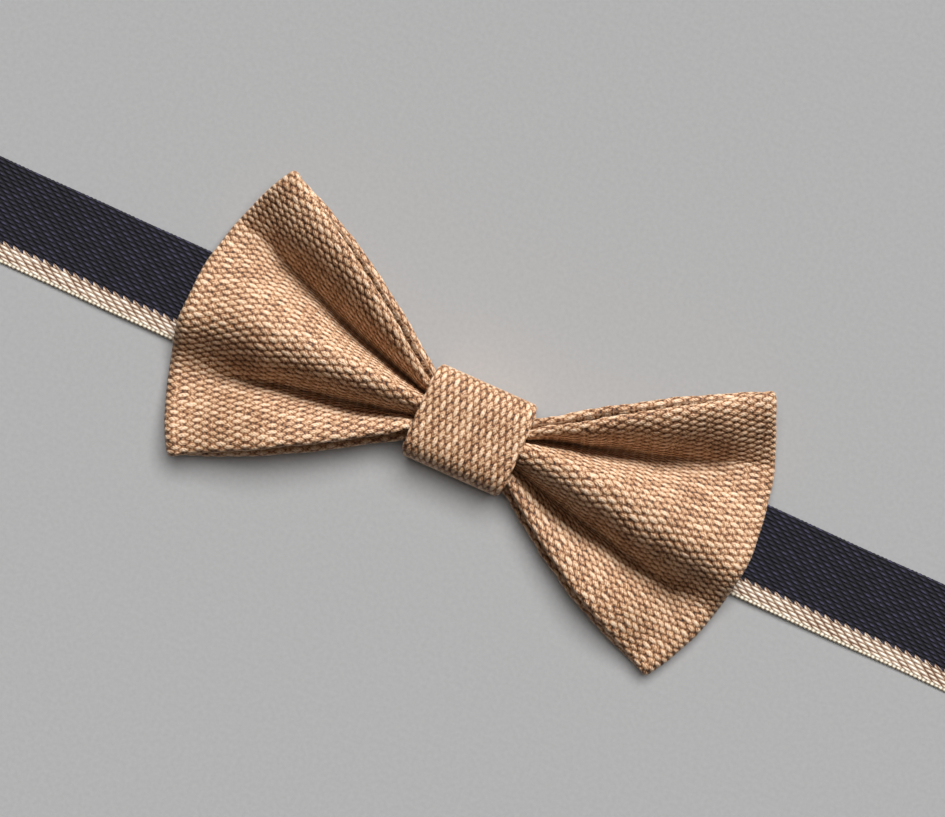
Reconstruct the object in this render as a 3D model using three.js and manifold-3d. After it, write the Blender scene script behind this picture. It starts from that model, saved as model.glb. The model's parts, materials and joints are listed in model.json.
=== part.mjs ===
// Ready-tied bow tie, lying open on its back: a gathered loop of cloth held by a knot on a two-tone neck tape.
// Millimetres. +X runs along the neck tape, +Y towards the bow's upper edge, +Z away from the table.
import * as THREE from 'three';
import { mergeVertices } from 'three/addons/utils/BufferGeometryUtils.js';
import Module from 'manifold-3d';

const wasm = await Module();
wasm.setup();

// Overall sizes
const BOW_WIDTH = 119.2;
const BOW_HEIGHT = 58.8;
const BAND_SPAN = 390;
const TAPE_WIDTH = 19;
const TAPE_THICKNESS = 1.0;
const CLEAR = 0.3;

// Bow cloth: a strip closed into a flat loop, gathered into an M at the waist
const CLOTH_THICKNESS = 0.9;
const STIFFENER_THICKNESS = 0.6;
const WAIST_HEIGHT = 10.0;
const WAIST_LENGTH = 14.0;
const BOW_TILT = -1.3;
const END_ARC_DROP = 0.9;
const UPPER_VALLEY = 0.57;
const LOWER_VALLEY = 0.455;
const RIDGE_AT_WAIST = 0.1;
const RIDGE_AT_END = -0.065;
const FRONT_INSET = 1.9;
const FLAP_CURL = 0.85;

// Knot
const KNOT_WIDTH = 20.5;
const KNOT_HEIGHT = 19;
const KNOT_DEPTH = 14;
const KNOT_CLOTH = 0.9;
const KNOT_LINING = 0.5;
const KNOT_SLACK = 0.45;
const KNOT_MOUTH_ROOM = 1.3;
const LINING_WIDTH = 16.5;
const THREAD = 0.5;
const THREAD_TURNS = [-2, 0, 2];

// Metal fittings for the tape
const PLATE = 1.2;
const SLOT_WIDTH = TAPE_WIDTH + 1.4;
const SIDE_RAIL = 1.6;
const FITTING_WIDTH = SLOT_WIDTH + 2 * SIDE_RAIL;
const BAR = 1.6;
const FOLD_SLOT = 3.2;
const WEB = 2.0;
const EYE_OPENING = [5.2, 12];
const EYE_RIM = 1.8;
const HOOK_REACH = 7.0;
const HOOK_GAP = 2.2;
const HOOK_WIDTH = 9;
const TONGUE = 1.0;
const SLIDER_BAR = 2.0;
const SLIDER_CENTRE = 2.2;
const SLIDER_SLOT = 3.6;
const SLIDER_X = 140;
const TAPE_JOIN_X = 90;
const BEVEL = 0.25;
const TACK = [0.9, 0.35];
const TACK_CLEAR = 0.1;
const TACK_MARGIN = 3;
const TACK_PLACES = [9.5, 13];

// Levels of the tape above the table
const WAIST_TAPE_Z = KNOT_CLOTH + CLEAR + KNOT_LINING + CLEAR;
const BAND_TOP = WAIST_TAPE_Z + TAPE_THICKNESS;
const LIFT_START = 14;
const LIFT_END = 110;
const FOLD_ROOM = 1.2;

// Materials
const cloth = (color) => new THREE.MeshStandardMaterial({ color, roughness: 0.95, metalness: 0 });
const metal = () => new THREE.MeshStandardMaterial({ color: 0xc9c6bf, roughness: 0.28, metalness: 1 });
const TAN = 0xc19468;
const NAVY = 0x23263a;
const CANVAS = 0xd9d2c2;
const THREAD_TAN = 0xb98a5c;

const lerp = (a, b, k) => a + (b - a) * k;
const clamp = (v, a, b) => Math.min(b, Math.max(a, v));
const ease = (k) => k * k * (3 - 2 * k);

// A smooth curve through a few [position, value] pairs, level at both ends.
function through(pairs, at) {
  const last = pairs.length - 1;
  if (at <= pairs[0][0]) return pairs[0][1];
  if (at >= pairs[last][0]) return pairs[last][1];
  const slope = (i) => {
    if (i === 0 || i === last) return 0;
    return (pairs[i + 1][1] - pairs[i - 1][1]) / (pairs[i + 1][0] - pairs[i - 1][0]);
  };
  const i = pairs.findIndex((pair) => pair[0] > at) - 1;
  const span = pairs[i + 1][0] - pairs[i][0];
  const k = (at - pairs[i][0]) / span;
  const h = k * k * (3 - 2 * k);
  const rise = (1 - h) * pairs[i][1] + h * pairs[i + 1][1];
  return rise + span * k * (1 - k) * ((1 - k) * slope(i) - k * slope(i + 1));
}

// ---- Bow cloth -----------------------------------------------------------------------------
// u runs from the bow's middle (0) to a wing's outer end (1), t across the strip from -1 to 1.
// Heights are above the tape's top at the waist, where the knot leaves room for thread, cloth and lining.
const WAIST_GAP = 2.3;
const THREAD_ROOM = CLOTH_THICKNESS / 2 + CLEAR + THREAD + CLEAR + KNOT_SLACK;
const WAIST_VALLEY = WAIST_GAP + THREAD_ROOM;
const KNOT_ROOM = KNOT_DEPTH - KNOT_CLOTH - CLEAR - KNOT_LINING - BAND_TOP;
const WAIST_CREST = KNOT_ROOM - THREAD_ROOM;
const CREST_RISE = [
  [0, WAIST_CREST], [0.14, WAIST_CREST], [0.25, WAIST_CREST + 2.1], [0.4, 11.8], [0.6, 11.8], [0.8, 10.0], [1, 7.0],
];
const RIDGE_RISE = [
  [0, WAIST_CREST], [0.14, WAIST_CREST], [0.25, WAIST_CREST + 2.5], [0.4, 12.2], [0.6, 12.0], [0.8, 10.2], [1, 7.0],
];
const VALLEY_RISE = [
  [0, WAIST_VALLEY], [0.14, WAIST_VALLEY], [0.25, WAIST_VALLEY + 0.4], [0.4, 5.3], [0.6, 5.2], [0.8, 4.4], [1, 2.7],
];
const LEAF_GAP = [[0, WAIST_GAP], [0.14, WAIST_GAP], [0.3, 3.6], [0.45, 4.1], [0.8, 4.0], [0.93, 3.5], [1, 2.8]];

const CORNER_HALF = BOW_HEIGHT / 2;
const END_RADIUS = BOW_WIDTH / 2;
const CORNER_RADIUS = END_RADIUS - END_ARC_DROP;
const CORNER_X = Math.sqrt(CORNER_RADIUS ** 2 - CORNER_HALF ** 2);
const KNOT_MOUTH = KNOT_HEIGHT / 2 - KNOT_CLOTH - KNOT_MOUTH_ROOM;
const EDGE_BULGE = 0.085;

// Half the strip's gathered height at u: tight in the waist, opening in the knot's mouth, then to the corner.
function halfHeight(u) {
  const x = u * CORNER_X;
  const waist = WAIST_HEIGHT / 2;
  const mouthX = KNOT_WIDTH / 2;
  if (x < mouthX) return lerp(waist, KNOT_MOUTH, clamp((x - WAIST_LENGTH / 2) / (mouthX - WAIST_LENGTH / 2), 0, 1));
  const p = (x - mouthX) / (CORNER_X - mouthX);
  return lerp(KNOT_MOUTH, CORNER_HALF, p + EDGE_BULGE * Math.sin(Math.PI * p));
}

// The wings sway a little differently from the tape's centre line.
function sway(side, u) {
  if (side < 0) return BOW_TILT + 1.95 * (1 - (1 - u) ** 1.8);
  return BOW_TILT + 0.5 * u - 0.95 * Math.sin(Math.PI * u);
}

// The middle of the cloth's thickness at (side, u, t) on the front (0) or back (1) leaf.
function leafPoint(side, u, t, leaf) {
  const half = halfHeight(u);
  const inset = FRONT_INSET * (1 - u ** 3) * clamp((u - 0.14) / 0.12, 0, 1) * (1 - leaf);
  const edge = half - CLOTH_THICKNESS / 2 - inset;
  const ridge = half * lerp(RIDGE_AT_WAIST, RIDGE_AT_END, u);
  const upper = half * UPPER_VALLEY - inset * 0.4;
  const lower = -half * LOWER_VALLEY + inset * 0.4;
  const rails = [-edge, lower, ridge, upper, edge];
  const crest = through(CREST_RISE, u);
  const valley = through(VALLEY_RISE, u);
  const rises = [crest, valley, through(RIDGE_RISE, u), valley, crest];
  const place = clamp((t + 1) * 2, 0, 4);
  const i = Math.min(3, Math.floor(place));
  const k = place - i;
  const flap = i === 0 || i === 3;
  const fromValley = i === 0 ? 1 - k : k;
  const curl = (1 - Math.cos(Math.PI * FLAP_CURL * fromValley)) / (1 - Math.cos(Math.PI * FLAP_CURL));
  const wave = (1 - Math.cos(Math.PI * k)) / 2;
  const blend = flap ? (i === 0 ? 1 - curl : curl) : wave;
  const rel = lerp(rails[i], rails[i + 1], k);
  const radius = lerp(END_RADIUS, CORNER_RADIUS, (rel / CORNER_HALF) ** 2);
  const endRel = rel * (CORNER_HALF / Math.max(half, 1));
  const reach = Math.sqrt(radius ** 2 - clamp(endRel, -CORNER_HALF, CORNER_HALF) ** 2);
  const gap = through(LEAF_GAP, u);
  const x = side * u * (reach - (CLOTH_THICKNESS + LEAF_GAP[LEAF_GAP.length - 1][1]) / 2);
  const z = BAND_TOP + lerp(rises[i], rises[i + 1], blend) - gap * leaf;
  return new THREE.Vector3(x, sway(side, u) + rel, z);
}

// One closed solid from a grid of middle points: offset to both sides of it and closed at the rims.
function thickSheet(grid, closed, above, below) {
  const rows = grid.length;
  const cols = grid[0].length;
  const row = (i) => (closed ? (i + rows) % rows : clamp(i, 0, rows - 1));
  const positions = [];
  const index = [];
  for (const offset of [above, -below]) {
    for (let i = 0; i < rows; i += 1) {
      for (let j = 0; j < cols; j += 1) {
        const along = grid[row(i + 1)][j].clone().sub(grid[row(i - 1)][j]);
        const across = grid[i][Math.min(j + 1, cols - 1)].clone().sub(grid[i][Math.max(j - 1, 0)]);
        const normal = along.cross(across).normalize();
        const point = grid[i][j].clone().addScaledVector(normal, offset);
        positions.push(point.x, point.y, point.z);
      }
    }
  }
  const at = (i, j, under) => under * rows * cols + row(i) * cols + j;
  const quad = (a, b, c, d) => index.push(a, b, c, a, c, d);
  const steps = closed ? rows : rows - 1;
  for (let i = 0; i < steps; i += 1) {
    for (let j = 0; j < cols - 1; j += 1) {
      quad(at(i, j, 0), at(i + 1, j, 0), at(i + 1, j + 1, 0), at(i, j + 1, 0));
      quad(at(i, j, 1), at(i, j + 1, 1), at(i + 1, j + 1, 1), at(i + 1, j, 1));
    }
    quad(at(i, 0, 0), at(i, 0, 1), at(i + 1, 0, 1), at(i + 1, 0, 0));
    quad(at(i, cols - 1, 0), at(i + 1, cols - 1, 0), at(i + 1, cols - 1, 1), at(i, cols - 1, 1));
  }
  if (!closed) {
    for (let j = 0; j < cols - 1; j += 1) {
      quad(at(0, j, 0), at(0, j + 1, 0), at(0, j + 1, 1), at(0, j, 1));
      quad(at(rows - 1, j, 0), at(rows - 1, j, 1), at(rows - 1, j + 1, 1), at(rows - 1, j + 1, 0));
    }
  }
  const geometry = new THREE.BufferGeometry();
  geometry.setAttribute('position', new THREE.Float32BufferAttribute(positions, 3));
  geometry.setIndex(index);
  return geometry;
}

// Where the strip turns at a wing's end, half way round from the front leaf to the back one.
function endRoll(side, t, angle) {
  const front = leafPoint(side, 1, t, 0);
  const back = leafPoint(side, 1, t, 1);
  const middle = front.clone().add(back).multiplyScalar(0.5);
  const radius = front.distanceTo(back) / 2;
  const outward = new THREE.Vector3(middle.x, middle.y, 0).normalize();
  const up = front.clone().sub(back).normalize();
  return middle.addScaledVector(outward, radius * Math.sin(angle)).addScaledVector(up, radius * Math.cos(angle));
}

const WING_STEPS = [0, 0.07, 0.13, 0.19, 0.26, 0.35, 0.46, 0.58, 0.7, 0.82, 0.92, 1];
const ACROSS = 20;
const ROLL_STEPS = 4;

function bowCloth() {
  const ts = Array.from({ length: ACROSS + 1 }, (_, j) => lerp(-1, 1, j / ACROSS));
  const grid = [];
  const outward = (side, leaf, us) => us.forEach((u) => grid.push(ts.map((t) => leafPoint(side, u, t, leaf))));
  const roll = (side, from) => {
    for (let k = 1; k < ROLL_STEPS; k += 1) {
      const angle = Math.PI * (from === 0 ? k / ROLL_STEPS : 1 - k / ROLL_STEPS);
      grid.push(ts.map((t) => endRoll(side, t, angle)));
    }
  };
  const inward = [...WING_STEPS].reverse().slice(0, -1);
  outward(-1, 0, inward);
  outward(1, 0, WING_STEPS);
  roll(1, 0);
  outward(1, 1, inward);
  outward(-1, 1, WING_STEPS);
  roll(-1, 1);
  return thickSheet(grid, true, CLOTH_THICKNESS / 2, CLOTH_THICKNESS / 2);
}

// A stiffening canvas lies half way between the two leaves of a wing.
const STIFFENER_FROM = 0.44;
const STIFFENER_TO = 0.88;
const STIFFENER_ACROSS = 0.74;

function wingStiffener(side) {
  const grid = [];
  for (let i = 0; i <= 7; i += 1) {
    const u = lerp(STIFFENER_FROM, STIFFENER_TO, side > 0 ? i / 7 : 1 - i / 7);
    const line = [];
    for (let j = 0; j <= 16; j += 1) {
      const t = lerp(-STIFFENER_ACROSS, STIFFENER_ACROSS, j / 16);
      line.push(leafPoint(side, u, t, 0).add(leafPoint(side, u, t, 1)).multiplyScalar(0.5));
    }
    grid.push(line);
  }
  return thickSheet(grid, false, STIFFENER_THICKNESS / 2, STIFFENER_THICKNESS / 2);
}

// ---- Knot ------------------------------------------------------------------------------------
// A rounded ring in the YZ plane, extruded along X about x.
function roundedOutline(Kind, low, high, radiusTop, radiusBottom) {
  const path = new Kind();
  const [y0, z0] = low;
  const [y1, z1] = high;
  path.moveTo(y0 + radiusBottom, z0);
  path.lineTo(y1 - radiusBottom, z0);
  path.absarc(y1 - radiusBottom, z0 + radiusBottom, radiusBottom, -Math.PI / 2, 0);
  path.lineTo(y1, z1 - radiusTop);
  path.absarc(y1 - radiusTop, z1 - radiusTop, radiusTop, 0, Math.PI / 2);
  path.lineTo(y0 + radiusTop, z1);
  path.absarc(y0 + radiusTop, z1 - radiusTop, radiusTop, Math.PI / 2, Math.PI);
  path.lineTo(y0, z0 + radiusBottom);
  path.absarc(y0 + radiusBottom, z0 + radiusBottom, radiusBottom, Math.PI, Math.PI * 1.5);
  return path;
}

function ring(low, high, wall, radiusTop, radiusBottom, width) {
  const shape = roundedOutline(THREE.Shape, low, high, radiusTop, radiusBottom);
  const innerLow = [low[0] + wall, low[1] + wall];
  const innerHigh = [high[0] - wall, high[1] - wall];
  const hole = roundedOutline(THREE.Path, innerLow, innerHigh, radiusTop - wall, radiusBottom - wall);
  shape.holes.push(hole);
  const geometry = new THREE.ExtrudeGeometry(shape, { depth: width, bevelEnabled: false, curveSegments: 6 });
  geometry.translate(0, 0, -width / 2);
  geometry.applyMatrix4(new THREE.Matrix4().makeBasis(
    new THREE.Vector3(0, 1, 0),
    new THREE.Vector3(0, 0, 1),
    new THREE.Vector3(1, 0, 0),
  ));
  return geometry;
}

const KNOT_RADIUS_TOP = 4.2;
const KNOT_RADIUS_BOTTOM = 2.6;
const KNOT_LOW = [BOW_TILT - KNOT_HEIGHT / 2, 0];
const KNOT_HIGH = [BOW_TILT + KNOT_HEIGHT / 2, KNOT_DEPTH];

function inward(low, high, by) {
  return [[low[0] + by, low[1] + by], [high[0] - by, high[1] - by]];
}

function knotLining() {
  const by = KNOT_CLOTH + CLEAR;
  const [low, high] = inward(KNOT_LOW, KNOT_HIGH, by);
  return ring(low, high, KNOT_LINING, KNOT_RADIUS_TOP - by, KNOT_RADIUS_BOTTOM - by, LINING_WIDTH);
}

// Thread wound round the gathered waist, between the cloth and the tape.
function waistThread(x) {
  const room = CLOTH_THICKNESS / 2 + CLEAR + THREAD;
  const half = WAIST_HEIGHT / 2 - CLOTH_THICKNESS / 2 + room;
  const low = [BOW_TILT - half, BAND_TOP + VALLEY_RISE[0][1] - LEAF_GAP[0][1] - room];
  const high = [BOW_TILT + half, BAND_TOP + CREST_RISE[0][1] + room];
  const geometry = ring(low, high, THREAD, 1.1, 1.1, THREAD);
  return geometry.translate(x, 0, 0);
}

// ---- Tape ------------------------------------------------------------------------------------
// A path of [x, z] points with its corners rounded to a radius.
function rounded(points, radius) {
  const path = [points[0]];
  for (let i = 1; i < points.length - 1; i += 1) {
    const at = new THREE.Vector2(...points[i]);
    const toBefore = new THREE.Vector2(...points[i - 1]).sub(at);
    const toAfter = new THREE.Vector2(...points[i + 1]).sub(at);
    const reach = Math.min(radius, toBefore.length() / 2, toAfter.length() / 2);
    const start = at.clone().addScaledVector(toBefore.normalize(), reach);
    const end = at.clone().addScaledVector(toAfter.normalize(), reach);
    const curve = new THREE.QuadraticBezierCurve(start, at, end);
    curve.getPoints(4).forEach((p) => path.push([p.x, p.y]));
  }
  path.push(points[points.length - 1]);
  return path;
}

// The tape is drawn together where it goes through the knot.
const GATHER_FROM = 11;
const GATHER_TO = 34;
const GATHERED = 12.2;

function acrossTape(x, side) {
  const k = 1 - ease(clamp((Math.abs(x) - GATHER_FROM) / (GATHER_TO - GATHER_FROM), 0, 1));
  return (side * lerp(TAPE_WIDTH, GATHERED, k)) / 2 + BOW_TILT * k;
}

// A tape that follows a path of [x, z] points.
function tape(path) {
  const grid = path.map(([x, z]) => [-1, 1].map((side) => new THREE.Vector3(x, acrossTape(x, side), z)));
  return thickSheet(grid, false, TAPE_THICKNESS / 2, TAPE_THICKNESS / 2);
}

// The tape's middle height: lifted behind the bow, down on the table towards its ends.
function tapeLevel(x) {
  const k = clamp((Math.abs(x) - LIFT_START) / (LIFT_END - LIFT_START), 0, 1);
  return TAPE_THICKNESS / 2 + WAIST_TAPE_Z * (1 - ease(k));
}

const FOLD_RADIUS = FOLD_ROOM + TAPE_THICKNESS / 2;
const FITTING_LENGTH = BAR / 2 + FOLD_SLOT + WEB;
const HOOK_LENGTH = FITTING_LENGTH + HOOK_REACH;
const EYE_LENGTH = FITTING_LENGTH + EYE_OPENING[0] + EYE_RIM;
const HOOK_AXIS_X = -(BAND_SPAN / 2 - HOOK_LENGTH);
const EYE_AXIS_X = BAND_SPAN / 2 - EYE_LENGTH;
const FOLD_AXIS_Z = TAPE_THICKNESS + FOLD_ROOM;
const TAIL = 16;

// Half a turn of tape round a fitting's bar, from below to above; side is -1 at the hook, 1 at the eye.
function fold(axisX, side) {
  const points = [];
  for (let i = 0; i <= 8; i += 1) {
    const angle = -Math.PI / 2 + (Math.PI * i) / 8;
    points.push([
      axisX + side * FOLD_RADIUS * Math.cos(angle),
      FOLD_AXIS_Z + FOLD_RADIUS * Math.sin(angle),
    ]);
  }
  return points;
}

const SECOND_LAYER = TAPE_THICKNESS * 1.5 + CLEAR;

function neckBand() {
  const tail = rounded([
    [HOOK_AXIS_X + TAIL, SECOND_LAYER],
    [HOOK_AXIS_X + 6, SECOND_LAYER],
    [HOOK_AXIS_X + 2, FOLD_AXIS_Z + FOLD_RADIUS],
    [HOOK_AXIS_X, FOLD_AXIS_Z + FOLD_RADIUS],
  ], 1);
  const path = [...tail.slice(0, -1), ...fold(HOOK_AXIS_X, -1).reverse()];
  for (let x = Math.ceil(HOOK_AXIS_X / 6 + 0.5) * 6; x < TAPE_JOIN_X; x += 6) path.push([x, tapeLevel(x)]);
  path.push([TAPE_JOIN_X, tapeLevel(TAPE_JOIN_X)]);
  return tape(path);
}

const SLIDER_HALF = SLIDER_CENTRE / 2 + SLIDER_SLOT + SLIDER_BAR;
const SLIDER_Z = SECOND_LAYER + TAPE_THICKNESS / 2 + CLEAR;
const SLIDER_TOP = SLIDER_Z + PLATE;
const INNER_LEG = SLIDER_CENTRE / 2 + CLEAR + TAPE_THICKNESS / 2;
const OUTER_LEG = INNER_LEG + TAPE_THICKNESS + CLEAR;

// The stretch of tape beyond the join: over the slider's middle bar, round the eye and back to the slider.
function adjusterTape() {
  const under = TAPE_THICKNESS / 2;
  const loopTop = SLIDER_TOP + CLEAR + TAPE_THICKNESS / 2;
  const overTop = loopTop + TAPE_THICKNESS + CLEAR;
  const start = [];
  for (let x = TAPE_JOIN_X + CLEAR; x < SLIDER_X - SLIDER_HALF - 2; x += 6) start.push([x, tapeLevel(x)]);
  const out = rounded([
    ...start,
    [SLIDER_X - SLIDER_HALF, under],
    [SLIDER_X - OUTER_LEG, under],
    [SLIDER_X - OUTER_LEG, overTop],
    [SLIDER_X + OUTER_LEG, overTop],
    [SLIDER_X + OUTER_LEG, SECOND_LAYER],
    [EYE_AXIS_X - 6, SECOND_LAYER],
    [EYE_AXIS_X - 2, FOLD_AXIS_Z + FOLD_RADIUS],
    [EYE_AXIS_X, FOLD_AXIS_Z + FOLD_RADIUS],
  ], 0.9);
  const back = rounded([
    [EYE_AXIS_X, under],
    [SLIDER_X - INNER_LEG, under],
    [SLIDER_X - INNER_LEG, loopTop],
    [SLIDER_X + INNER_LEG, loopTop],
    [SLIDER_X + INNER_LEG, SECOND_LAYER],
    [SLIDER_X - INNER_LEG + TAPE_THICKNESS, SECOND_LAYER],
  ], 0.7);
  return tape([...out.slice(0, -1), ...fold(EYE_AXIS_X, 1).reverse(), ...back.slice(1)]);
}

// ---- Metal fittings --------------------------------------------------------------------------
function roundedRect(Kind, x0, x1, halfY, radius) {
  return roundedOutline(Kind, [x0, -halfY], [x1, halfY], radius, radius);
}

function plate(outline, holes, z) {
  outline.holes.push(...holes);
  const geometry = new THREE.ExtrudeGeometry(outline, {
    depth: PLATE - 2 * BEVEL,
    bevelThickness: BEVEL,
    bevelSize: BEVEL,
    bevelOffset: -BEVEL,
    bevelSegments: 1,
    curveSegments: 5,
  });
  return geometry.translate(0, 0, z + BEVEL);
}

const HALF_FITTING = FITTING_WIDTH / 2;
const FOLD_HOLE = () => roundedRect(THREE.Path, BAR / 2, BAR / 2 + FOLD_SLOT, SLOT_WIDTH / 2, 0.8);
const PLATE_Z = FOLD_AXIS_Z - PLATE / 2;

function eyePlate() {
  const outline = roundedRect(THREE.Shape, -BAR / 2, EYE_LENGTH, HALF_FITTING, 3);
  const opening = roundedRect(THREE.Path, FITTING_LENGTH, FITTING_LENGTH + EYE_OPENING[0], EYE_OPENING[1] / 2, 2);
  return plate(outline, [FOLD_HOLE(), opening], PLATE_Z);
}

function toManifold(geometry) {
  const bare = geometry.clone();
  bare.deleteAttribute('normal');
  bare.deleteAttribute('uv');
  const merged = mergeVertices(bare, 1e-4);
  return new wasm.Manifold(new wasm.Mesh({
    numProp: 3,
    vertProperties: new Float32Array(merged.attributes.position.array),
    triVerts: new Uint32Array(merged.index.array),
  }));
}

function fromManifold(solid) {
  const mesh = solid.getMesh();
  const geometry = new THREE.BufferGeometry();
  geometry.setAttribute('position', new THREE.BufferAttribute(mesh.vertProperties, 3));
  geometry.setIndex(new THREE.BufferAttribute(mesh.triVerts, 1));
  return geometry;
}

// A flat tongue that runs out from the hook's plate, turns up and comes back over it.
function hookPlate() {
  const outline = roundedRect(THREE.Shape, -BAR / 2, FITTING_LENGTH, HALF_FITTING, 1.8);
  const base = plate(outline, [FOLD_HOLE()], PLATE_Z);
  const turn = (HOOK_GAP + TONGUE) / 2;
  const turnX = HOOK_LENGTH - turn - TONGUE / 2;
  const middle = [[FITTING_LENGTH - 1, FOLD_AXIS_Z], [turnX, FOLD_AXIS_Z]];
  for (let i = 1; i <= 8; i += 1) {
    const angle = -Math.PI / 2 + (Math.PI * i) / 8;
    middle.push([turnX + turn * Math.cos(angle), FOLD_AXIS_Z + turn + turn * Math.sin(angle)]);
  }
  middle.push([FITTING_LENGTH + 1.2, FOLD_AXIS_Z + 2 * turn + 0.2]);
  const upper = [];
  const lower = [];
  for (let i = 0; i < middle.length; i += 1) {
    const before = middle[Math.max(i - 1, 0)];
    const after = middle[Math.min(i + 1, middle.length - 1)];
    const along = new THREE.Vector2(after[0] - before[0], after[1] - before[1]).normalize();
    upper.push(new THREE.Vector2(middle[i][0] - (along.y * TONGUE) / 2, middle[i][1] + (along.x * TONGUE) / 2));
    lower.unshift(new THREE.Vector2(middle[i][0] + (along.y * TONGUE) / 2, middle[i][1] - (along.x * TONGUE) / 2));
  }
  const tongue = new THREE.ExtrudeGeometry(new THREE.Shape([...upper, ...lower]), {
    depth: HOOK_WIDTH,
    bevelEnabled: false,
  });
  tongue.translate(0, 0, -HOOK_WIDTH / 2);
  tongue.rotateX(Math.PI / 2);
  return fromManifold(toManifold(base).add(toManifold(tongue))).rotateZ(Math.PI);
}

function sliderPlate() {
  const outline = roundedRect(THREE.Shape, -SLIDER_HALF, SLIDER_HALF, HALF_FITTING, 2.4);
  const near = SLIDER_CENTRE / 2;
  const hole = (side) => {
    const ends = [side * near, side * (near + SLIDER_SLOT)].sort((a, b) => a - b);
    return roundedRect(THREE.Path, ends[0], ends[1], SLOT_WIDTH / 2, 0.9);
  };
  return plate(outline, [hole(-1), hole(1)], SLIDER_Z);
}

// ---- Stitches --------------------------------------------------------------------------------
// A bar tack is a dense row of thread across the tape, on top of its upper layer.
function barTack(x) {
  const z = SECOND_LAYER + (TAPE_THICKNESS + TACK[1]) / 2 + TACK_CLEAR;
  return new THREE.BoxGeometry(TACK[0], TAPE_WIDTH - TACK_MARGIN, TACK[1]).translate(x, 0, z);
}

// ---- Assembly --------------------------------------------------------------------------------
const bowTie = new THREE.Group();

function add(name, geometry, material) {
  const mesh = new THREE.Mesh(geometry, material);
  mesh.name = name;
  bowTie.add(mesh);
  return mesh;
}

add('bow_cloth', bowCloth(), cloth(TAN));
add('wing_stiffener_left', wingStiffener(-1), cloth(CANVAS));
add('wing_stiffener_right', wingStiffener(1), cloth(CANVAS));
THREAD_TURNS.forEach((x, i) => add(`waist_thread_${i + 1}`, waistThread(x), cloth(THREAD_TAN)));
add('knot_wrap', ring(KNOT_LOW, KNOT_HIGH, KNOT_CLOTH, KNOT_RADIUS_TOP, KNOT_RADIUS_BOTTOM, KNOT_WIDTH), cloth(TAN));
add('knot_lining', knotLining(), cloth(CANVAS));
add('neck_band', neckBand(), cloth(NAVY));
add('adjuster_tape', adjusterTape(), cloth(NAVY));
add('band_eye', eyePlate(), metal()).position.x = EYE_AXIS_X;
add('band_hook', hookPlate(), metal()).position.x = HOOK_AXIS_X;
add('slider', sliderPlate(), metal()).position.x = SLIDER_X;

TACK_PLACES.forEach((x, i) => add(`hook_bar_tack_${i + 1}`, barTack(HOOK_AXIS_X + x), cloth(NAVY)));

export default bowTie;
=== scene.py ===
# %% [markdown]
# # A ready-tied bow tie
# The tie is a strip of coarse tan cloth, closed into a flat loop and gathered at its middle. A knot of the same
# cloth holds it on a two-tone woven neck tape. One end of the tape is sewn round a hook. The other end runs
# through a slide and round an eye, and sets the size of the collar. The tie lies open on its back.

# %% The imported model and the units
import json
import math

import bpy
import numpy as np
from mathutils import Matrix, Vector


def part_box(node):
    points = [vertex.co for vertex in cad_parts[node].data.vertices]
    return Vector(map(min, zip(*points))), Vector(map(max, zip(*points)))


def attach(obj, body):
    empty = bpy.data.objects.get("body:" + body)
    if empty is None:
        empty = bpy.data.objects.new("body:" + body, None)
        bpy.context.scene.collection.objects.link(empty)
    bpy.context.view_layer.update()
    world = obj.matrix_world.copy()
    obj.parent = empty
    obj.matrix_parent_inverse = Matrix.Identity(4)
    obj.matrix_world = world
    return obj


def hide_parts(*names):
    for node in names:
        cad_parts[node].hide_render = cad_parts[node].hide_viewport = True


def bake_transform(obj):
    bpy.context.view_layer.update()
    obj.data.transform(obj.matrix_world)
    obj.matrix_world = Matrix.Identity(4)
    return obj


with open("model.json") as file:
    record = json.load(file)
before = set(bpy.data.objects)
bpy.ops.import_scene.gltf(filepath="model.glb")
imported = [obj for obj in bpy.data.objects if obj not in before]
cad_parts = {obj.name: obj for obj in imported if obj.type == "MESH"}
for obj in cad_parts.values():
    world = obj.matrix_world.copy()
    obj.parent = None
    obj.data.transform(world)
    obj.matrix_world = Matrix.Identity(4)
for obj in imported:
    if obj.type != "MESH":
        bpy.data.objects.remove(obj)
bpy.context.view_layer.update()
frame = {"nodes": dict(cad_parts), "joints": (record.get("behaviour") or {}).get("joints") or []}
MM = 0.001


def new_object(name, data):
    made = bpy.data.objects.new(name, data)
    bpy.context.scene.collection.objects.link(made)
    return made


def box_mm(node):
    """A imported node's lowest and highest corners, in millimetres."""
    low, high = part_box(node)
    return np.array(low) / MM, np.array(high) / MM


knot_low, knot_high = box_mm("knot_wrap")
slider_low, slider_high = box_mm("slider")
print("knot", np.round(knot_high - knot_low, 1), "slide", np.round(slider_high - slider_low, 1))

# %% [markdown]
# ## The camera
# The tie is seen from straight above, with its tape running down to the right at 24 degrees. A long lens keeps
# the edges parallel. The view is 181.7 mm wide at the bow's height, so both ends of the tape run out of it.

# %% Camera
VIEW_WIDTH = 181.7
VIEW_TURN = math.radians(24.45)
LENS = 200
SENSOR = 36
BOW_MIDDLE_Z = 8
CAMERA_HEIGHT = BOW_MIDDLE_Z + VIEW_WIDTH * LENS / SENSOR
VIEW_CENTRE = (-0.9, 2.7)

camera_data = bpy.data.cameras.new("camera")
camera_data.lens = LENS
camera_data.sensor_width = SENSOR
camera = new_object("camera", camera_data)
camera.location = (VIEW_CENTRE[0] * MM, VIEW_CENTRE[1] * MM, CAMERA_HEIGHT * MM)
camera.rotation_euler = (0, 0, VIEW_TURN)
bpy.context.scene.camera = camera
print("camera", round(CAMERA_HEIGHT), "mm above the table")

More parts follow.
